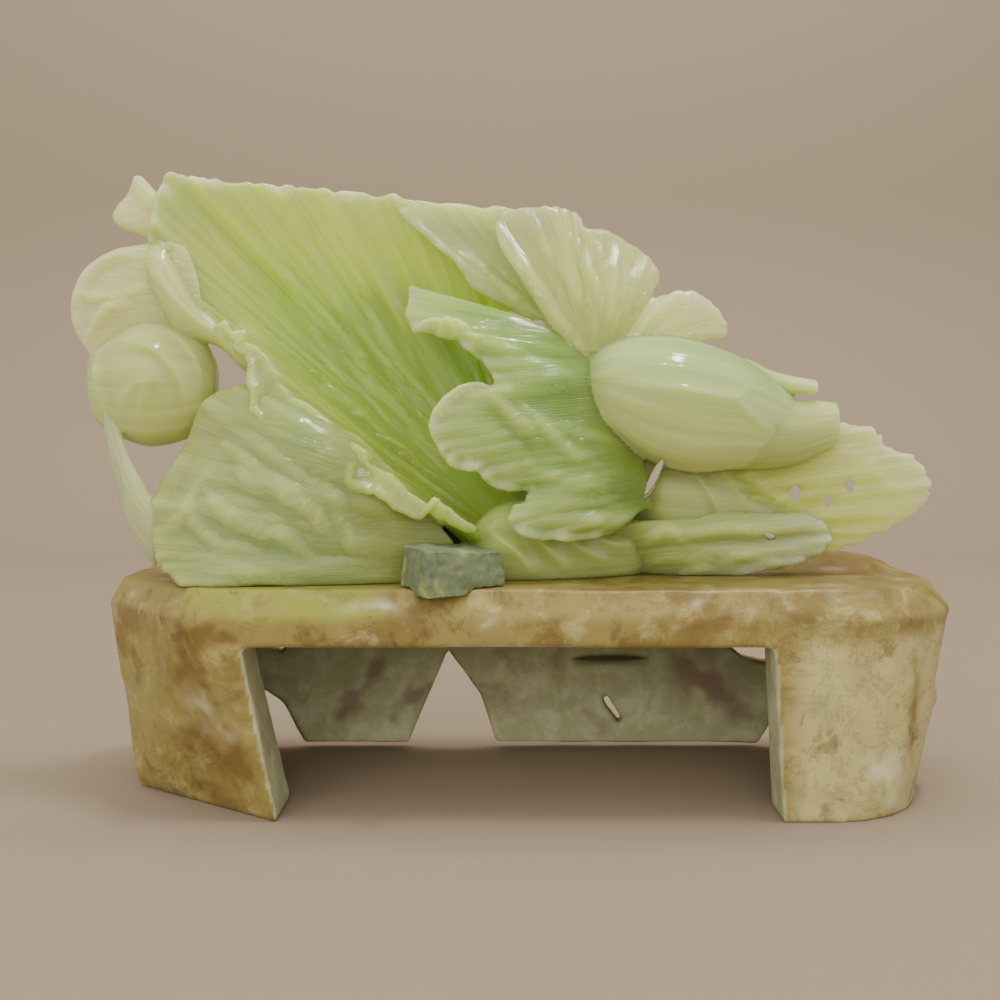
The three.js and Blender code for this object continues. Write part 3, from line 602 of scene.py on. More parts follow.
def leafSurface(leaf, seed):
    # P(u, v) = (1-v)^2 root(u) + 2v(1-v) middle(u) + v^2 rim(u) + facing (ribs + ruffle + flutes
    # + creases + frill + veins), middle = (root + rim) / 2 + 2 belly (1 - sideFlat |2u-1|^3); past
    # the rim it rolls over as an arc: rim + outward r sin(a) + facing r (1 - cos a).
    across, length = leaf["size"]
    u = np.linspace(0, 1, across + 1)
    v = np.linspace(0, 1, length + 1)
    root, rim = curveThrough(leaf["root"], u), curveThrough(leaf["rim"], u)
    facing = unit(np.array(leaf.get("facing", [0, -1, 0]), float))
    ahead, behind = np.minimum(u + 0.01, 1), np.maximum(u - 0.01, 0)
    tangent = curveThrough(leaf["rim"], ahead) - curveThrough(leaf["rim"], behind)
    outward = unit(np.cross(tangent, facing))
    rootMiddle = curveThrough(leaf["root"], np.array([0.5]))[0]
    outward *= np.where(np.sum(outward * (rim - rootMiddle), axis=1) < 0, -1, 1)[:, None]
    spacing = np.linalg.norm(np.diff(rim, axis=0), axis=1)
    span = np.concatenate([[0], np.cumsum(spacing)])    # mm along the rim
    row = onLine(span / 6)
    notches = ease(cloud(row * 1.6, seed + 8), 0.3, 0.7)
    chips = cloud(row, seed) * 0.55 + cloud(row * 2.7, seed + 1) * 0.45 - 0.5 * notches
    rim = rim + outward * (leaf["jag"] * chips)[:, None]
    bow = 1 - leaf.get("sideFlat", 0.6) * np.abs(2 * u - 1) ** 3
    middle = (root + rim) / 2 + np.array(leaf["belly"], float) * (2 * bow)[:, None]
    U, V = u[:, None], v[None, :]
    P = (((1 - V) ** 2)[..., None] * root[:, None] + (2 * V * (1 - V))[..., None] * middle[:, None]
         + (V ** 2)[..., None] * rim[:, None])
    lift = np.zeros((across + 1, length + 1))
    calmEnd = leaf.get("calm", 0)
    calm = 1 - 0.85 * ease(V, 0.7, 0.9) * ease(U, calmEnd + 0.001, calmEnd - 0.06)
    if "ribs" in leaf:
        height, count = leaf["ribs"]
        share = 1 + (leaf.get("rimShare", 0.3) - 1) * V ** 2
        crests = np.abs(np.sin(np.pi * count * U)) - 0.5
        lift = lift + height * crests * np.minimum(2 * V, 1) * share
    if "ruffle" in leaf:
        height, waves, phase = leaf["ruffle"]
        lift = lift + height * np.sin(2 * np.pi * (waves * U + phase)) * V ** 3
    if "flutes" in leaf:
        lift = lift + leaf["flutes"][0] * fluteLines(leaf, U, V, seed) * calm
    height, acrossCount, alongCount = leaf["crease"]
    spot = onSheet(U, V, acrossCount, alongCount)
    finer = 0.5 - np.abs(cloud(spot * [2.3, 1.6, 1], seed + 3))
    ridges = 0.5 - np.abs(cloud(spot, seed + 2)) + 0.35 * finer
    lift = lift + height * ridges * ease(V, 0.02, 0.3)
    height, waves, depth = leaf["frill"]
    reach = np.linalg.norm(rim - root, axis=1)
    edge = np.exp(-(1 - V) * reach[:, None] / depth)
    wander = cloud(onLine(u * waves * 0.7), seed + 4)
    lift = lift + height * np.sin(2 * np.pi * waves * u + 2.5 * wander)[:, None] * edge * calm
    lift = lift + relief(P, leaf.get("veins", []))
    P = P + facing * lift[..., None]
    v = np.broadcast_to(V, lift.shape)
    if "rollDegrees" in leaf:
        turn = np.radians(curveThrough(leaf["rollDegrees"], u)[:, 0])
        radius = curveThrough(leaf["rollRadius"], u)[:, 0]
        steps = np.linspace(0, 1, 15)[1:]
        a = turn[:, None] * steps
        wave = 1 + 0.25 * cloud(onLine(span / 9), seed + 5)
        out, rise = radius[:, None] * wave[:, None] * np.sin(a), radius[:, None] * (1 - np.cos(a))
        rolled = P[:, -1:] + outward[:, None] * out[..., None] + facing * rise[..., None]
        P = np.concatenate([P, rolled], axis=1)
        v = np.concatenate([v, np.ones_like(a) + 0.001 * steps], axis=1)
    return P, np.broadcast_to(U, v.shape), v, span


def leafShell(leaf, seed):
    # two skins P +- n t / 2 joined round the edge, t falling from the root's thickness to the rim's
    # by v^0.7, and rounded off over the last three steps
    P, u, v, span = leafSurface(leaf, seed)
    normal = unit(np.cross(np.gradient(P, axis=0), np.gradient(P, axis=1)))
    thick = leaf["thick"]
    half = (thick[0] + (thick[1] - thick[0]) * np.minimum(v, 1) ** 0.7) / 2
    rows, columns = v.shape
    i, j = np.meshgrid(np.arange(rows), np.arange(columns), indexing="ij")
    nearest = np.minimum(np.minimum(i, rows - 1 - i), columns - 1 - j)
    half = half * np.sqrt(ease(nearest, -1.5, 3) * 0.8 + 0.2)
    front, back = P + normal * half[..., None], P - normal * half[..., None]
    points = np.concatenate([front.reshape(-1, 3), back.reshape(-1, 3)])
    tone = toneAt(leaf["tones"], np.minimum(v, 1))
    place = np.stack([span[:, None] / 5 + 0 * v, 3 * v, 0 * v], axis=-1)
    chip = leaf.get("chipped", 0.2) * ease(v, 0.965, 0.995) * (u > leaf.get("calm", 0))
    chip = chip * ease(cloud(place, seed + 9), -0.1, 0.5)
    # pale tint along the crests and flutes: a painted highlight
    crestHighlight = jade["crestHighlight"] * paintedCrestHighlight(leaf, P, u, v, seed)
    for code, share in ((jade["pale"], crestHighlight), (jade["chip"], chip)):
        tone = tone + (np.array(colour(code)[:3]) - tone) * share[..., None]
    tone = np.concatenate([tone.reshape(-1, 3)] * 2)
    grain = np.stack([u * span[-1] / 10, v * 6, np.minimum(v, 1)], axis=-1).reshape(-1, 3)
    grain = np.concatenate([grain, grain])
    return orientedOutwards(points, slabFaces(rows, columns)), points, tone, grain


def orientedOutwards(points, faces):
    # turned round if the volume, the sum of a . (b x c) / 6 over its triangles, is negative
    volume = 0.0
    for f in faces:
        a = points[f[:, 0]]
        for k in range(1, f.shape[1] - 1):
            volume += np.sum(a * np.cross(points[f[:, k]], points[f[:, k + 1]]))
    return [f[:, ::-1] for f in faces] if volume < 0 else faces


def lumpShell(lump, around=128, lengthwise=130):
    # ring(t, a) = centre(t) + (0, deep(t) cos a, tall(t) sin a), its front lifted by the veins and
    # its ends closed by flat caps
    t = np.linspace(0, 1, lengthwise + 1)
    s = curveThrough(lump["stations"], t)
    a = np.linspace(0, 2 * np.pi, around, endpoint=False)
    deep, tall = np.maximum(s[:, 3], 1)[:, None], np.maximum(s[:, 4], 1)[:, None]
    x, y, z = s[:, :1] + 0 * a, s[:, 1:2] + deep * np.cos(a), s[:, 2:3] + tall * np.sin(a)
    P = np.stack([x, y, z], axis=-1)
    P[..., 1] -= relief(P, lump.get("veins", [])) * ease(-np.cos(a), 0.1, 0.6)
    share = np.broadcast_to(t[:, None], P.shape[:2])
    height = (np.sin(a) * 0.5 + 0.5) * np.ones_like(share)
    by = height if lump.get("upright") else share
    tone = toneAt(lump["tones"], by).reshape(-1, 3)
    grain = np.stack([height * 2, share * 2, 0.3 + 0 * share], axis=-1).reshape(-1, 3)
    points = P.reshape(-1, 3)
    return orientedOutwards(points, tubeFaces(len(t), around)), points, tone, grain


def carvingSource():
    allPoints, allFaces, allTones, allGrains = [], [], [], []
    start = 0
    shells = [leafShell(leaf, 7 * k) for k, leaf in enumerate(leaves.values())]
    shells += [lumpShell(lump) for lump in swellings.values()]
    for faces, points, tone, grain in shells:
        allPoints.append(points + carvingOrigin)
        allFaces += [f + start for f in faces]
        allTones.append(tone)
        allGrains.append(grain)
        start += len(points)
    one = np.ones((start, 1))
    tones = np.concatenate([np.concatenate(allTones), one], axis=1)
    grains = np.concatenate([np.concatenate(allGrains), one], axis=1)
    points = np.concatenate(allPoints)
    return meshFrom("carvingSource", points, allFaces, {"tone": tones, "grain": grains})


def cutters():
    # under the carving: everything below the stand's top and its low mound; and the oval openings
    x, y = np.meshgrid(np.linspace(-230, 230, 231), np.linspace(-60, 190, 126), indexing="ij")
    top = drawing["standTop"] + drawing["restGap"] + moundHeight(x, y)
    upper = np.stack([x, y, top], axis=-1)
    lower = np.stack([x, y, np.full_like(x, 20.0)], axis=-1)    # well under every leaf
    points = np.concatenate([upper.reshape(-1, 3), lower.reshape(-1, 3)])
    pieces = [meshFrom("underside", points, orientedOutwards(points, slabFaces(*x.shape)))]
    allPoints, allFaces = [], []
    near, far, around = 0, 130, 24
    for k, (cx, cz, width, height, lean) in enumerate(openings):
        # ring(y, a) = the oval, widened in X by (distance + y) / (distance + openingDepth), so that
        # it runs along the line of sight
        a = np.linspace(0, 2 * np.pi, around, endpoint=False)
        turn = math.radians(lean)
        w, h = np.cos(a) * width / 2, np.sin(a) * height / 2
        px = cx + w * math.cos(turn) + h * math.sin(turn)
        pz = cz - w * math.sin(turn) + h * math.cos(turn)
        rings = []
        for depth in (near, far):
            wider = px * (view["distance"] + depth) / (view["distance"] + openingDepth)
            rings.append(np.stack([wider, 0 * a + depth, pz], axis=-1))
        points = np.concatenate(rings) + carvingOrigin
        faces = orientedOutwards(points, tubeFaces(2, around))
        allFaces += [f + 2 * around * k for f in faces]
        allPoints.append(points)
    pieces.append(meshFrom("openings", np.concatenate(allPoints), allFaces))
    return pieces


mound = {"centre": [129.5, 86.0, 85.0], "halves": [30.0, 26.0, 8.0]}


def moundHeight(x, y):
    # the mound's upper half over the stand's flat top: c + h sqrt(1 - (dx/a)^2 - (dy/b)^2) - top
    cx, cy, cz = mound["centre"]
    a, b, h = mound["halves"]
    inside = 1 - ((x - cx) / a) ** 2 - ((y - cy) / b) ** 2
    return np.maximum(cz + h * np.sqrt(np.maximum(inside, 0)) - drawing["standTop"], 0)


def makeCarving():
    source = carvingSource()
    print("carving drawn:", len(source.data.polygons), "faces")
    joined = bpy.data.objects.new("joined", source.data.copy())
    bpy.context.scene.collection.objects.link(joined)
    modify(joined, "REMESH", mode="VOXEL", voxel_size=drawing["voxel"] / 1000,
           use_smooth_shade=True)
    cuts = cutters()
    for cut in cuts:
        modify(joined, "BOOLEAN", operation="DIFFERENCE", object=cut, solver="MANIFOLD")
    modify(joined, "SMOOTH", factor=0.5, iterations=1)
    rough = settle(joined, "rough")
    count = triangles(rough)
    print("carving joined:", count, "triangles")
    modify(rough, "DECIMATE", ratio=min(1.0, drawing["triangles"] / count))
    made = settle(rough, "cabbageCarving")
    made.data.color_attributes.new("tone", "FLOAT_COLOR", "POINT")
    made.data.color_attributes.new("grain", "FLOAT_COLOR", "POINT")
    modify(made, "DATA_TRANSFER", object=source, use_vert_data=True,
           data_types_verts={"COLOR_VERTEX"}, vert_mapping="POLYINTERP_NEAREST",
           layers_vcol_vert_select_src="ALL", layers_vcol_vert_select_dst="NAME")
    final = settle(made, "jadeCabbage")
    discard(source, joined, rough, made, *cuts)
    return smoothed(final)


# Materials

def addNode(tree, kind, values=None, links=None, **settings):
    node = tree.nodes.new(kind)
    for key, value in settings.items():
        setattr(node, key, value)
    for key, value in (values or {}).items():
        node.inputs[key].default_value = value
    for key, socket in (links or {}).items():
        tree.links.new(socket, node.inputs[key])
    return node


def newMaterial(name):
    material = bpy.data.materials.new(name)
    material.use_nodes = True
    tree = material.node_tree
    tree.nodes.clear()
    shader = addNode(tree, "ShaderNodeBsdfPrincipled")
    addNode(tree, "ShaderNodeOutputMaterial", links={"Surface": shader.outputs[0]})
    return material, tree, shader


def coordinates(tree, size):
    # Object coordinates scaled so that 1 is size mm
    place = addNode(tree, "ShaderNodeTexCoord")
    factor = 1000 / size
    scaled = addNode(tree, "ShaderNodeVectorMath", {1: (factor, factor, factor)},
                     {0: place.outputs["Object"]}, operation="MULTIPLY")
    return scaled.outputs[0]


def polishedJade(look):
    # polished translucent jade: light enters and glows at the thin rims, milky veils run through
    # the green, tool striations follow each leaf, and the wax gives small wet highlights
    material, tree, shader = newMaterial("polishedJade")
    tone = addNode(tree, "ShaderNodeAttribute", attribute_name="tone")
    grain = addNode(tree, "ShaderNodeAttribute", attribute_name="grain")
    veils = addNode(tree, "ShaderNodeTexNoise",
                    {"Scale": 1.0, "Detail": 5.0, "Roughness": 0.55, "Distortion": 1.2},
                    {"Vector": coordinates(tree, look["veilSize"])})
    amount = addNode(tree, "ShaderNodeMapRange", {1: 0.45, 2: 0.75, 3: 0.0, 4: look["veil"]},
                     {0: veils.outputs[0]})
    milky = addNode(tree, "ShaderNodeMix", {7: colour(look["milk"])},
                    {0: amount.outputs[0], 6: tone.outputs["Color"]}, data_type="RGBA")
    warm = addNode(tree, "ShaderNodeTexNoise", {"Scale": 1.0, "Detail": 3.0},
                   {"Vector": coordinates(tree, look["veilSize"] * 2.4)})
    warmth = addNode(tree, "ShaderNodeMapRange", {1: 0.5, 2: 0.8, 3: 0.0, 4: look["warmth"]},
                     {0: warm.outputs[0]})
    tinted = addNode(tree, "ShaderNodeMix", {7: colour(look["honey"])},
                     {0: warmth.outputs[0], 6: milky.outputs[2]}, data_type="RGBA")
    along = addNode(tree, "ShaderNodeVectorMath", {1: (look["strokes"], 0.35, 1.0)},
                    {0: grain.outputs["Color"]}, operation="MULTIPLY")
    strokes = addNode(tree, "ShaderNodeTexNoise", {"Scale": 1.0, "Detail": 3.0, "Roughness": 0.6},
                      {"Vector": along.outputs[0]})
    light = addNode(tree, "ShaderNodeMapRange", {1: 0.35, 2: 0.7, 3: 0.9, 4: 1.08},
                    {0: strokes.outputs[0]})
    final = addNode(tree, "ShaderNodeVectorMath", links={0: tinted.outputs[2], 1: light.outputs[0]},
                    operation="MULTIPLY")
    bump = addNode(tree, "ShaderNodeBump", {"Strength": look["strokeBump"], "Distance": 0.0008},
                   {"Height": strokes.outputs[0]})
    polish = addNode(tree, "ShaderNodeTexNoise", {"Scale": 1.0, "Detail": 2.0},
                     {"Vector": coordinates(tree, 3.0)})
    ripple = addNode(tree, "ShaderNodeBump", {"Strength": 0.22, "Distance": 0.0003},
                     {"Height": polish.outputs[0], "Normal": bump.outputs[0]})
    smoothest, dullest = look["roughness"] * 0.7, look["roughness"] * 1.6
    gloss = addNode(tree, "ShaderNodeMapRange", {1: 0.3, 2: 0.75, 3: smoothest, 4: dullest},
                    {0: polish.outputs[0]})
    for key, value in {
        "Subsurface Weight": 1.0, "Subsurface Radius": (0.85, 1.0, 0.5),
        "Subsurface Scale": look["depth"], "IOR": 1.6, "Coat Weight": 0.1, "Coat Roughness": 0.03,
    }.items():
        shader.inputs[key].default_value = value
    tree.links.new(final.outputs[0], shader.inputs["Base Color"])
    tree.links.new(gloss.outputs[0], shader.inputs["Roughness"])
    tree.links.new(ripple.outputs[0], shader.inputs["Normal"])
    return material


def clouded(tree, look, ground, layers):
    # the colour of the ground, turned in turn towards each layer's colour as its pattern goes from
    # low to high, by as much as most
    under = None
    for name, pattern, low, high, most in layers:
        amount = addNode(tree, "ShaderNodeMapRange", {1: low, 2: high, 3: 0.0, 4: most},
                         {0: pattern}, interpolation_type="SMOOTHSTEP")
        mixed = addNode(tree, "ShaderNodeMix", {6: colour(look[ground]), 7: colour(look[name])},
                        {0: amount.outputs[0]}, data_type="RGBA")
        if under:
            tree.links.new(under, mixed.inputs[6])
        under = mixed.outputs[2]
    return under


def waxedStone(look):
    # waxed serpentine slab: tan clouded with ochre and cream, a yellow-green band at the left, a
    # creamy right leg, brown stains, and dull grey-green faces where the saw hollowed it, painted
    # lighter to lift the shade in the hollow, with a painted shadow line along its narrow slot
    material, tree, shader = newMaterial("waxedSerpentine")
    zone = addNode(tree, "ShaderNodeAttribute", attribute_name="zone")
    parts = addNode(tree, "ShaderNodeSeparateColor", links={0: zone.outputs["Color"]})
    stainAndSlotShadow = addNode(tree, "ShaderNodeAttribute", attribute_name="stainAndSlotShadow")
    stains = addNode(tree, "ShaderNodeSeparateColor", links={0: stainAndSlotShadow.outputs["Color"]})
    big = addNode(tree, "ShaderNodeTexNoise",
                  {"Scale": 1.0, "Detail": 6.0, "Roughness": 0.6, "Distortion": 0.8},
                  {"Vector": coordinates(tree, look["cloudSize"])})
    small = addNode(tree, "ShaderNodeTexNoise",
                    {"Scale": 1.0, "Detail": 5.0, "Roughness": 0.65, "Distortion": 0.4},
                    {"Vector": coordinates(tree, look["patchSize"])})
    streak = addNode(tree, "ShaderNodeTexNoise",
                     {"Scale": 1.0, "Detail": 8.0, "Roughness": 0.7, "Distortion": 0.6},
                     {"Vector": coordinates(tree, look["veinSize"])})
    ridge = addNode(tree, "ShaderNodeMath", {1: 0.5}, {0: streak.outputs[0]}, operation="SUBTRACT")
    ridge = addNode(tree, "ShaderNodeMath", links={0: ridge.outputs[0]}, operation="ABSOLUTE")
    speck = addNode(tree, "ShaderNodeTexNoise", {"Scale": 1.0, "Detail": 2.0},
                    {"Vector": coordinates(tree, look["speckSize"])})
    sawnZone, creamZone, mossZone = parts.outputs[:3]
    ochreStain, paleStain, greyStainAndSlotShadow = stains.outputs[:3]
    waxed = clouded(tree, look, "tan", [
        ("ochre", big.outputs[0], 0.47, 0.6, 0.65), ("cream", small.outputs[0], 0.52, 0.68, 0.4),
        ("cream", creamZone, 0.1, 0.9, 0.7), ("moss", mossZone, 0.1, 0.9, 0.8),
        ("ochre", ochreStain, 0.05, 0.8, 0.9), ("brown", ridge.outputs[0], 0.022, 0.0, 0.3),
        ("brown", small.outputs[0], 0.43, 0.33, 0.5), ("grey", greyStainAndSlotShadow, 0.05, 0.8, 0.8),
        ("pale", paleStain, 0.05, 0.9, 0.85), ("brown", speck.outputs[0], 0.7, 0.78, 0.6),
    ])
    # the sawn colours are painted lighter than the cut stone to lift the shade in the hollow
    sawn = clouded(tree, look, "sawn", [
        ("sawnPale", small.outputs[0], 0.4, 0.68, 0.8), ("plum", big.outputs[0], 0.56, 0.7, 0.5),
        # on the sawn faces this channel is the slot's painted shadow line
        ("plum", ochreStain, 0.05, 0.7, 0.9), ("brown", greyStainAndSlotShadow, 0.3, 0.9, 0.95),
    ])
    both = addNode(tree, "ShaderNodeMix", links={0: sawnZone, 6: waxed, 7: sawn}, data_type="RGBA")
    rough = addNode(tree, "ShaderNodeMapRange", {1: 0.0, 2: 1.0, 3: look["waxed"], 4: look["dull"]},
                    {0: sawnZone})
    dents = addNode(tree, "ShaderNodeBump", {"Strength": 0.35, "Distance": 0.0006},
                    {"Height": small.outputs[0]})
    pits = addNode(tree, "ShaderNodeBump", {"Strength": 0.25, "Distance": 0.0004},
                   {"Height": speck.outputs[0], "Normal": dents.outputs[0]})
    for key, value in {
        "Subsurface Weight": 0.1, "Subsurface Radius": (1.0, 0.8, 0.4), "Subsurface Scale": 0.004,
        "IOR": 1.55, "Specular IOR Level": 0.35, "Coat Weight": 0.05, "Coat Roughness": 0.3,
    }.items():
        shader.inputs[key].default_value = value
    tree.links.new(both.outputs[2], shader.inputs["Base Color"])
    tree.links.new(rough.outputs[0], shader.inputs["Roughness"])
    tree.links.new(pits.outputs[0], shader.inputs["Normal"])
    return material


def roughStone(look):
    # unpolished serpentine: dark grey-green grains with a yellow-green streak and pale crumbs
    material, tree, shader = newMaterial("roughSerpentine")
    big = addNode(tree, "ShaderNodeTexNoise", {"Scale": 1.0, "Detail": 6.0, "Roughness": 0.7},
                  {"Vector": coordinates(tree, look["patchSize"])})
    crumb = addNode(tree, "ShaderNodeTexNoise", {"Scale": 1.0, "Detail": 6.0, "Roughness": 0.8},
                    {"Vector": coordinates(tree, look["crumbSize"])})
    tint = clouded(tree, look, "green", [
        ("dark", crumb.outputs[0], 0.45, 0.7, 0.9), ("lime", big.outputs[0], 0.52, 0.66, 0.85),
        ("pale", crumb.outputs[0], 0.42, 0.25, 0.6),
    ])
    bump = addNode(tree, "ShaderNodeBump", {"Strength": 0.8, "Distance": 0.0008},
                   {"Height": crumb.outputs[0]})
    shader.inputs["Roughness"].default_value = look["roughness"]
    tree.links.new(tint, shader.inputs["Base Color"])
    tree.links.new(bump.outputs[0], shader.inputs["Normal"])
    return material


def paint(made, material):
    made.data.materials.clear()
    made.data.materials.append(material)


# The stand and the block

stand = {
    "voxel": 1.4,           # mm
    "wave": [1.1, 46.0],    # hand-cut unevenness: height and size
    "dent": [0.6, 15.0],    # smaller dents: height and size
    "chip": [1.8, 7.0],     # chips along the edges: depth and size
    "pits": [0.7, 4.0],     # pits of the rough patch on the left leg: height and size
    "patch": [-119.0, 38.0, 22.0, 20.0],    # that patch: middle X and Z, half width and height
    "moundFoot": [126.0, 84.0, 34.0, 34.0],     # the stained top right: middle X and Y, radii
    "hollowMiddle": [0.0, 60.0, 30.0],      # faces turned towards it are the sawn ones
    "creamLeg": [84.0, 112.0],      # X where the right end turns creamy
    "mossBand": [-138.0, -118.0, -62.0, -38.0],     # X of the yellow-green band, in and out
    # stains on the front, each [strength, half width in mm, line of X and Z]
    "ochreStains": [
        [1.0, 4.0, [[-132, 70], [-118, 71.5], [-105, 68.5]]],
        [0.9, 15.0, [[-146, 58], [-122, 56], [-104, 50]]],
        [0.9, 17.0, [[-138, 26], [-112, 22], [-96, 12]]],
        [0.8, 3.5, [[-52, 85], [-44, 80], [-33, 76]]],
        [0.7, 3.0, [[-6, 72], [7, 74], [17, 77]]], [0.9, 3.2, [[57, 70], [68, 75], [82, 78]]],
        [1.0, 3.0, [[88, 79], [102, 76], [114, 73]]], [0.5, 7.0, [[20, 84], [50, 85], [78, 84]]],
        [0.6, 4.0, [[144, 70], [146, 40], [145, 8]]],
    ],
    "paleStains": [
        [0.8, 2.4, [[60, 79], [66, 83], [71, 87]]], [0.5, 3.0, [[-19, 70], [-14, 74], [-9, 77]]],
        [0.45, 11.0, [[-134, 48], [-118, 40], [-108, 26]]],
        [0.8, 9.0, [[122, 26], [138, 14], [134, 2]]],
        [0.5, 3.0, [[-70, 78], [-56, 81], [-42, 78]]], [1.0, 2.2, [[-95.5, 31], [-95, 22]]],
        [0.9, 1.6, [[-100, 61], [-98, 58]]], [0.5, 4.0, [[100, 86], [118, 84], [134, 84]]],
    ],
    "greyStains": [
        [0.7, 5.0, [[104, 50], [110, 42], [112, 34]]], [0.8, 3.0, [[98, 13], [104, 10]]],
        [0.5, 3.0, [[134, 32], [135, 42]]],
        [0.4, 3.0, [[118, 14], [128, 10]]], [0.5, 5.0, [[-124, 42], [-112, 40]]],
    ],
    # on the inside of the back wall: plum and brown streaks, and a painted shadow line along the
    # narrow slot
    "innerStains": [
        [0.9, 6.0, [[-58, 46], [-72, 28], [-86, 8]]], [0.8, 4.5, [[-40, 32], [-50, 22], [-60, 12]]],
        [0.8, 11.0, [[64, 44], [84, 30], [106, 12]]], [0.5, 5.0, [[20, 30], [34, 12], [40, 4]]],
    ],
    "slotShadow": [[1.4, 2.4, [[21, 41.3], [40, 41.6], [60, 41.8]]]],
    "look": {
        "tan": "#948548", "ochre": "#745b29", "cream": "#cdc488", "moss": "#8f9438",
        "brown": "#584324", "pale": "#dcd6ae",
        # sawn and sawnPale: painted lighter to lift the shade inside the hollow
        "grey": "#8f9468", "sawn": "#a9aa80", "sawnPale": "#c9caa6", "plum": "#8f7767",
        "cloudSize": 36.0, "patchSize": 13.0, "veinSize": 34.0, "speckSize": 2.2,   # mm
        "waxed": 0.4, "dull": 0.75,     # roughness
    },
}
block = {
    "voxel": 0.7,           # mm
    "lump": [1.0, 7.0],     # broken lumps: depth and size
    "grit": [0.4, 2.2],     # grains: depth and size
    "look": {
        "green": "#6f7a5a", "dark": "#4c5640", "lime": "#9aa860", "pale": "#a3a78a",
        "patchSize": 16.0, "crumbSize": 4.0, "roughness": 0.82,
    },
}


def solidCopy(name, voxel, rounds=2):
    # the CAD solid's faces merged, remeshed evenly and its edges eased; also how far each point
    # was eased, in mm
    source = bpy.data.objects.new(name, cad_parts[name].data.copy())
    bpy.context.scene.collection.objects.link(source)
    modify(source, "WELD", merge_threshold=0.00001)
    modify(source, "REMESH", mode="VOXEL", voxel_size=voxel / 1000)
    sharp = settle(source, name + "Sharp")
    modify(sharp, "SMOOTH", factor=0.5, iterations=rounds)
    soft = settle(sharp, name + "Soft")
    pointed = vertices(sharp)[0]
    eased, normals = vertices(soft)
    discard(source, sharp)
    return soft, eased, normals, np.linalg.norm(pointed - eased, axis=1)


def makeStand():
    # p = eased + normal (wave + dent) - normal chip where the edge was eased away; feet kept level
    made, p, n, edge = solidCopy("stand", stand["voxel"])
    wave, waveSize = stand["wave"]
    dent, dentSize = stand["dent"]
    chip, chipSize = stand["chip"]
    inward = np.sum(n * (np.array(stand["hollowMiddle"]) - p), axis=1)
    sawn = ease(inward, 0, 12) * ease(p[:, 2], 84, 78)
    height = wave * cloud(p / waveSize, 1) + dent * cloud(p / dentSize, 2)
    height += 0.3 * dent * cloud(p / 5, 3)
    height *= 1 - 0.7 * sawn
    pit, pitSize = stand["pits"]
    front = ease(p[:, 1], 40, 14)
    patch = ease(ovalPlace(p[:, 0], p[:, 2], stand["patch"]), 1.2, 0.4) * front
    height += patch * pit * cloud(p / pitSize, 13)
    edges = ease(edge, 0.08, 0.4)
    crumbs = cloud(p / chipSize, 4) + 0.5 * cloud(p / 2.6, 5)
    height -= chip * edges * ease(crumbs, 0.25, 0.8)
    height *= ease(p[:, 2], 0.5, 5) * (1 - ease(n[:, 2], 0.5, 0.9) * ease(p[:, 2], 80, 84))
    moved = p + n * height[:, None]
    setVertices(made, moved)
    cream = ease(p[:, 0], *stand["creamLeg"]) * ease(p[:, 2], 78, 60)
    cream *= 0.85 + 0.3 * cloud(p / 20, 6)
    bandIn, bandFull, bandFalls, bandOut = stand["mossBand"]
    moss = ease(p[:, 0], bandOut, bandFalls) * ease(p[:, 0], bandIn, bandFull)
    moss *= ease(p[:, 2], 70, 77) * (0.8 + 0.5 * cloud(p / 12, 7))
    torn = 0.75 + 0.6 * cloud(p / 7, 8) + 0.3 * cloud(p / 2.8, 9)
    swell = ease(ovalPlace(p[:, 0], p[:, 1], stand["moundFoot"]), 1.1, 0.6)
    swell *= ease(n[:, 2], 0.2, 0.6)
    inner = ease(p[:, 1], 84, 98) * sawn
    ochre = front * relief(p, stand["ochreStains"]) * torn + 0.7 * swell * torn
    ochre += inner * relief(p, stand["innerStains"]) * torn
    ochre += 0.4 * ease(n[:, 2], 0.6, 0.9) * ease(cloud(p / 26, 10), -0.2, 0.5)
    pale = front * relief(p, stand["paleStains"]) * torn + 0.8 * edges * ease(crumbs, 0.45, 0.8)
    # grey holds grey stains on the front and the slot's painted shadow line inside
    grey = front * relief(p, stand["greyStains"]) * torn + inner * relief(p, stand["slotShadow"])
    one = np.ones(len(p))
    for key, channels in (("zone", (sawn, cream, moss, one)), ("stainAndSlotShadow", (ochre, pale, grey, one))):
        shares = np.clip(np.stack(channels, axis=-1), 0, 1)
        attribute = made.data.color_attributes.new(key, "FLOAT_COLOR", "POINT")
        attribute.data.foreach_set("color", shares.astype(np.float32).ravel())
    made.name = "stoneStand"
    return smoothed(made)


def makeBlock():
    # p = eased - normal (lumps + grit), so that nothing grows out of the solid
    made, p, n, _ = solidCopy("rough_block", block["voxel"])
    lump, lumpSize = block["lump"]
    grit, gritSize = block["grit"]
    height = lump * (cloud(p / lumpSize, 11) - 0.4) + grit * cloud(p / gritSize, 12)
    height *= 1 - ease(-n[:, 2], 0.6, 0.9)
    setVertices(made, p + n * height[:, None])
    made.name = "roughBlock"
    return smoothed(made)


# The object

for made, node, slot, material in [
    (makeCarving(), "cabbage_carving", "carving_stone", polishedJade(jade)),
    (makeStand(), "stand", "stand_stone", waxedStone(stand["look"])),
    (makeBlock(), "rough_block", "block_stone", roughStone(block["look"])),
]:
    paint(made, material)
    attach(made, "root")
    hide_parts(node)
    print(made.name, "done:", triangles(made), "triangles")


# Floor, light and camera

studio = {
    "floor": "#93836f", "room": "#e8e9ea", "roomStrength": 1.1,
    "front": -2500.0, "bend": 900.0, "radius": 500.0, "top": 3000.0, "halfWidth": 3000.0,   # mm
}


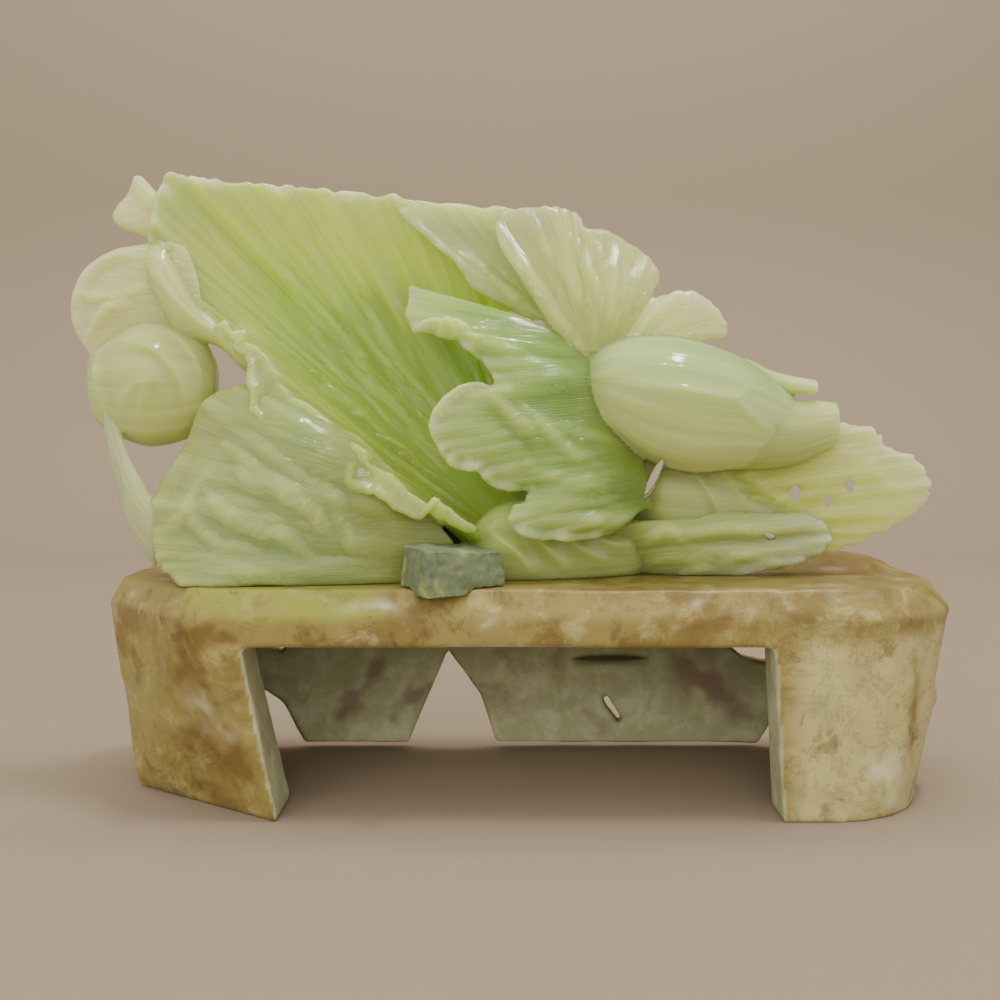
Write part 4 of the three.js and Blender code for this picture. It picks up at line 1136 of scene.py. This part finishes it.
def makeFloor():
    # a sweep: flat, then rising behind as a quarter circle, then straight up
    bend, radius = studio["bend"], studio["radius"]
    a = np.linspace(0, np.pi / 2, 24)
    y = np.concatenate([[studio["front"], bend], bend + radius * np.sin(a[1:]), [bend + radius]])
    z = np.concatenate([[0, 0], radius * (1 - np.cos(a[1:])), [studio["top"]]])
    x = np.array([-studio["halfWidth"], studio["halfWidth"]])
    points = np.stack([np.broadcast_to(x, (len(y), 2)), np.broadcast_to(y[:, None], (len(y), 2)),
                       np.broadcast_to(z[:, None], (len(y), 2))], axis=-1).reshape(-1, 3)
    floor = meshFrom("floor", points - shift, [gridFaces(len(y), 2)[:, ::-1]])
    material, tree, shader = newMaterial("paperSweep")
    shader.inputs["Base Color"].default_value = colour(studio["floor"])
    shader.inputs["Roughness"].default_value = 0.9
    paint(floor, material)
    smoothed(floor)


def areaLight(name, place, target, size, power, tint, mirrored=False):
    # place, target and size in m, power in W; mirrored: whether polished stone mirrors it
    light = bpy.data.lights.new(name, "AREA")
    light.shape = "RECTANGLE"
    light.size, light.size_y = size
    light.energy = power
    light.color = colour(tint)[:3]
    lamp = bpy.data.objects.new(name, light)
    lamp.location = place
    lamp.rotation_euler = (Vector(target) - Vector(place)).to_track_quat("-Z", "Y").to_euler()
    lamp.visible_glossy = mirrored
    bpy.context.scene.collection.objects.link(lamp)


def makeCamera():
    # lens = sensor focal / frame, tipped down by atan(drop / focal)
    camera = bpy.data.objects.new("camera", bpy.data.cameras.new("camera"))
    camera.data.sensor_width = 36
    camera.data.lens = camera.data.sensor_width * view["focal"] / view["frame"]
    place = np.array([drawing["carvingX"], -view["distance"], view["height"]])
    camera.location = (place + shift) / 1000
    camera.rotation_euler = (math.pi / 2 - math.atan(view["drop"] / view["focal"]), 0, 0)
    bpy.context.scene.collection.objects.link(camera)
    bpy.context.scene.camera = camera


makeFloor()
makeCamera()
areaLight("window", (0.37, -0.1, 1.6), (0, 0, 0.12), (0.4, 0.14), 11, "#fffaf2", mirrored=True)
areaLight("ceiling", (-0.2, 0.1, 1.7), (0, 0, 0.1), (2.4, 2.0), 11, "#fffaf2")
areaLight("fill", (-0.35, -1.4, 0.75), (0, 0, 0.06), (1.4, 1.0), 16, "#fff6ea")
areaLight("wallWash", (0, 0.5, 1.7), (0, 1.5, 0.5), (2.4, 0.4), 21, "#fffaf0")
world = bpy.data.worlds.new("room")
bpy.context.scene.world = world
world.use_nodes = True
world.node_tree.nodes["Background"].inputs["Color"].default_value = colour(studio["room"])
world.node_tree.nodes["Background"].inputs["Strength"].default_value = studio["roomStrength"]
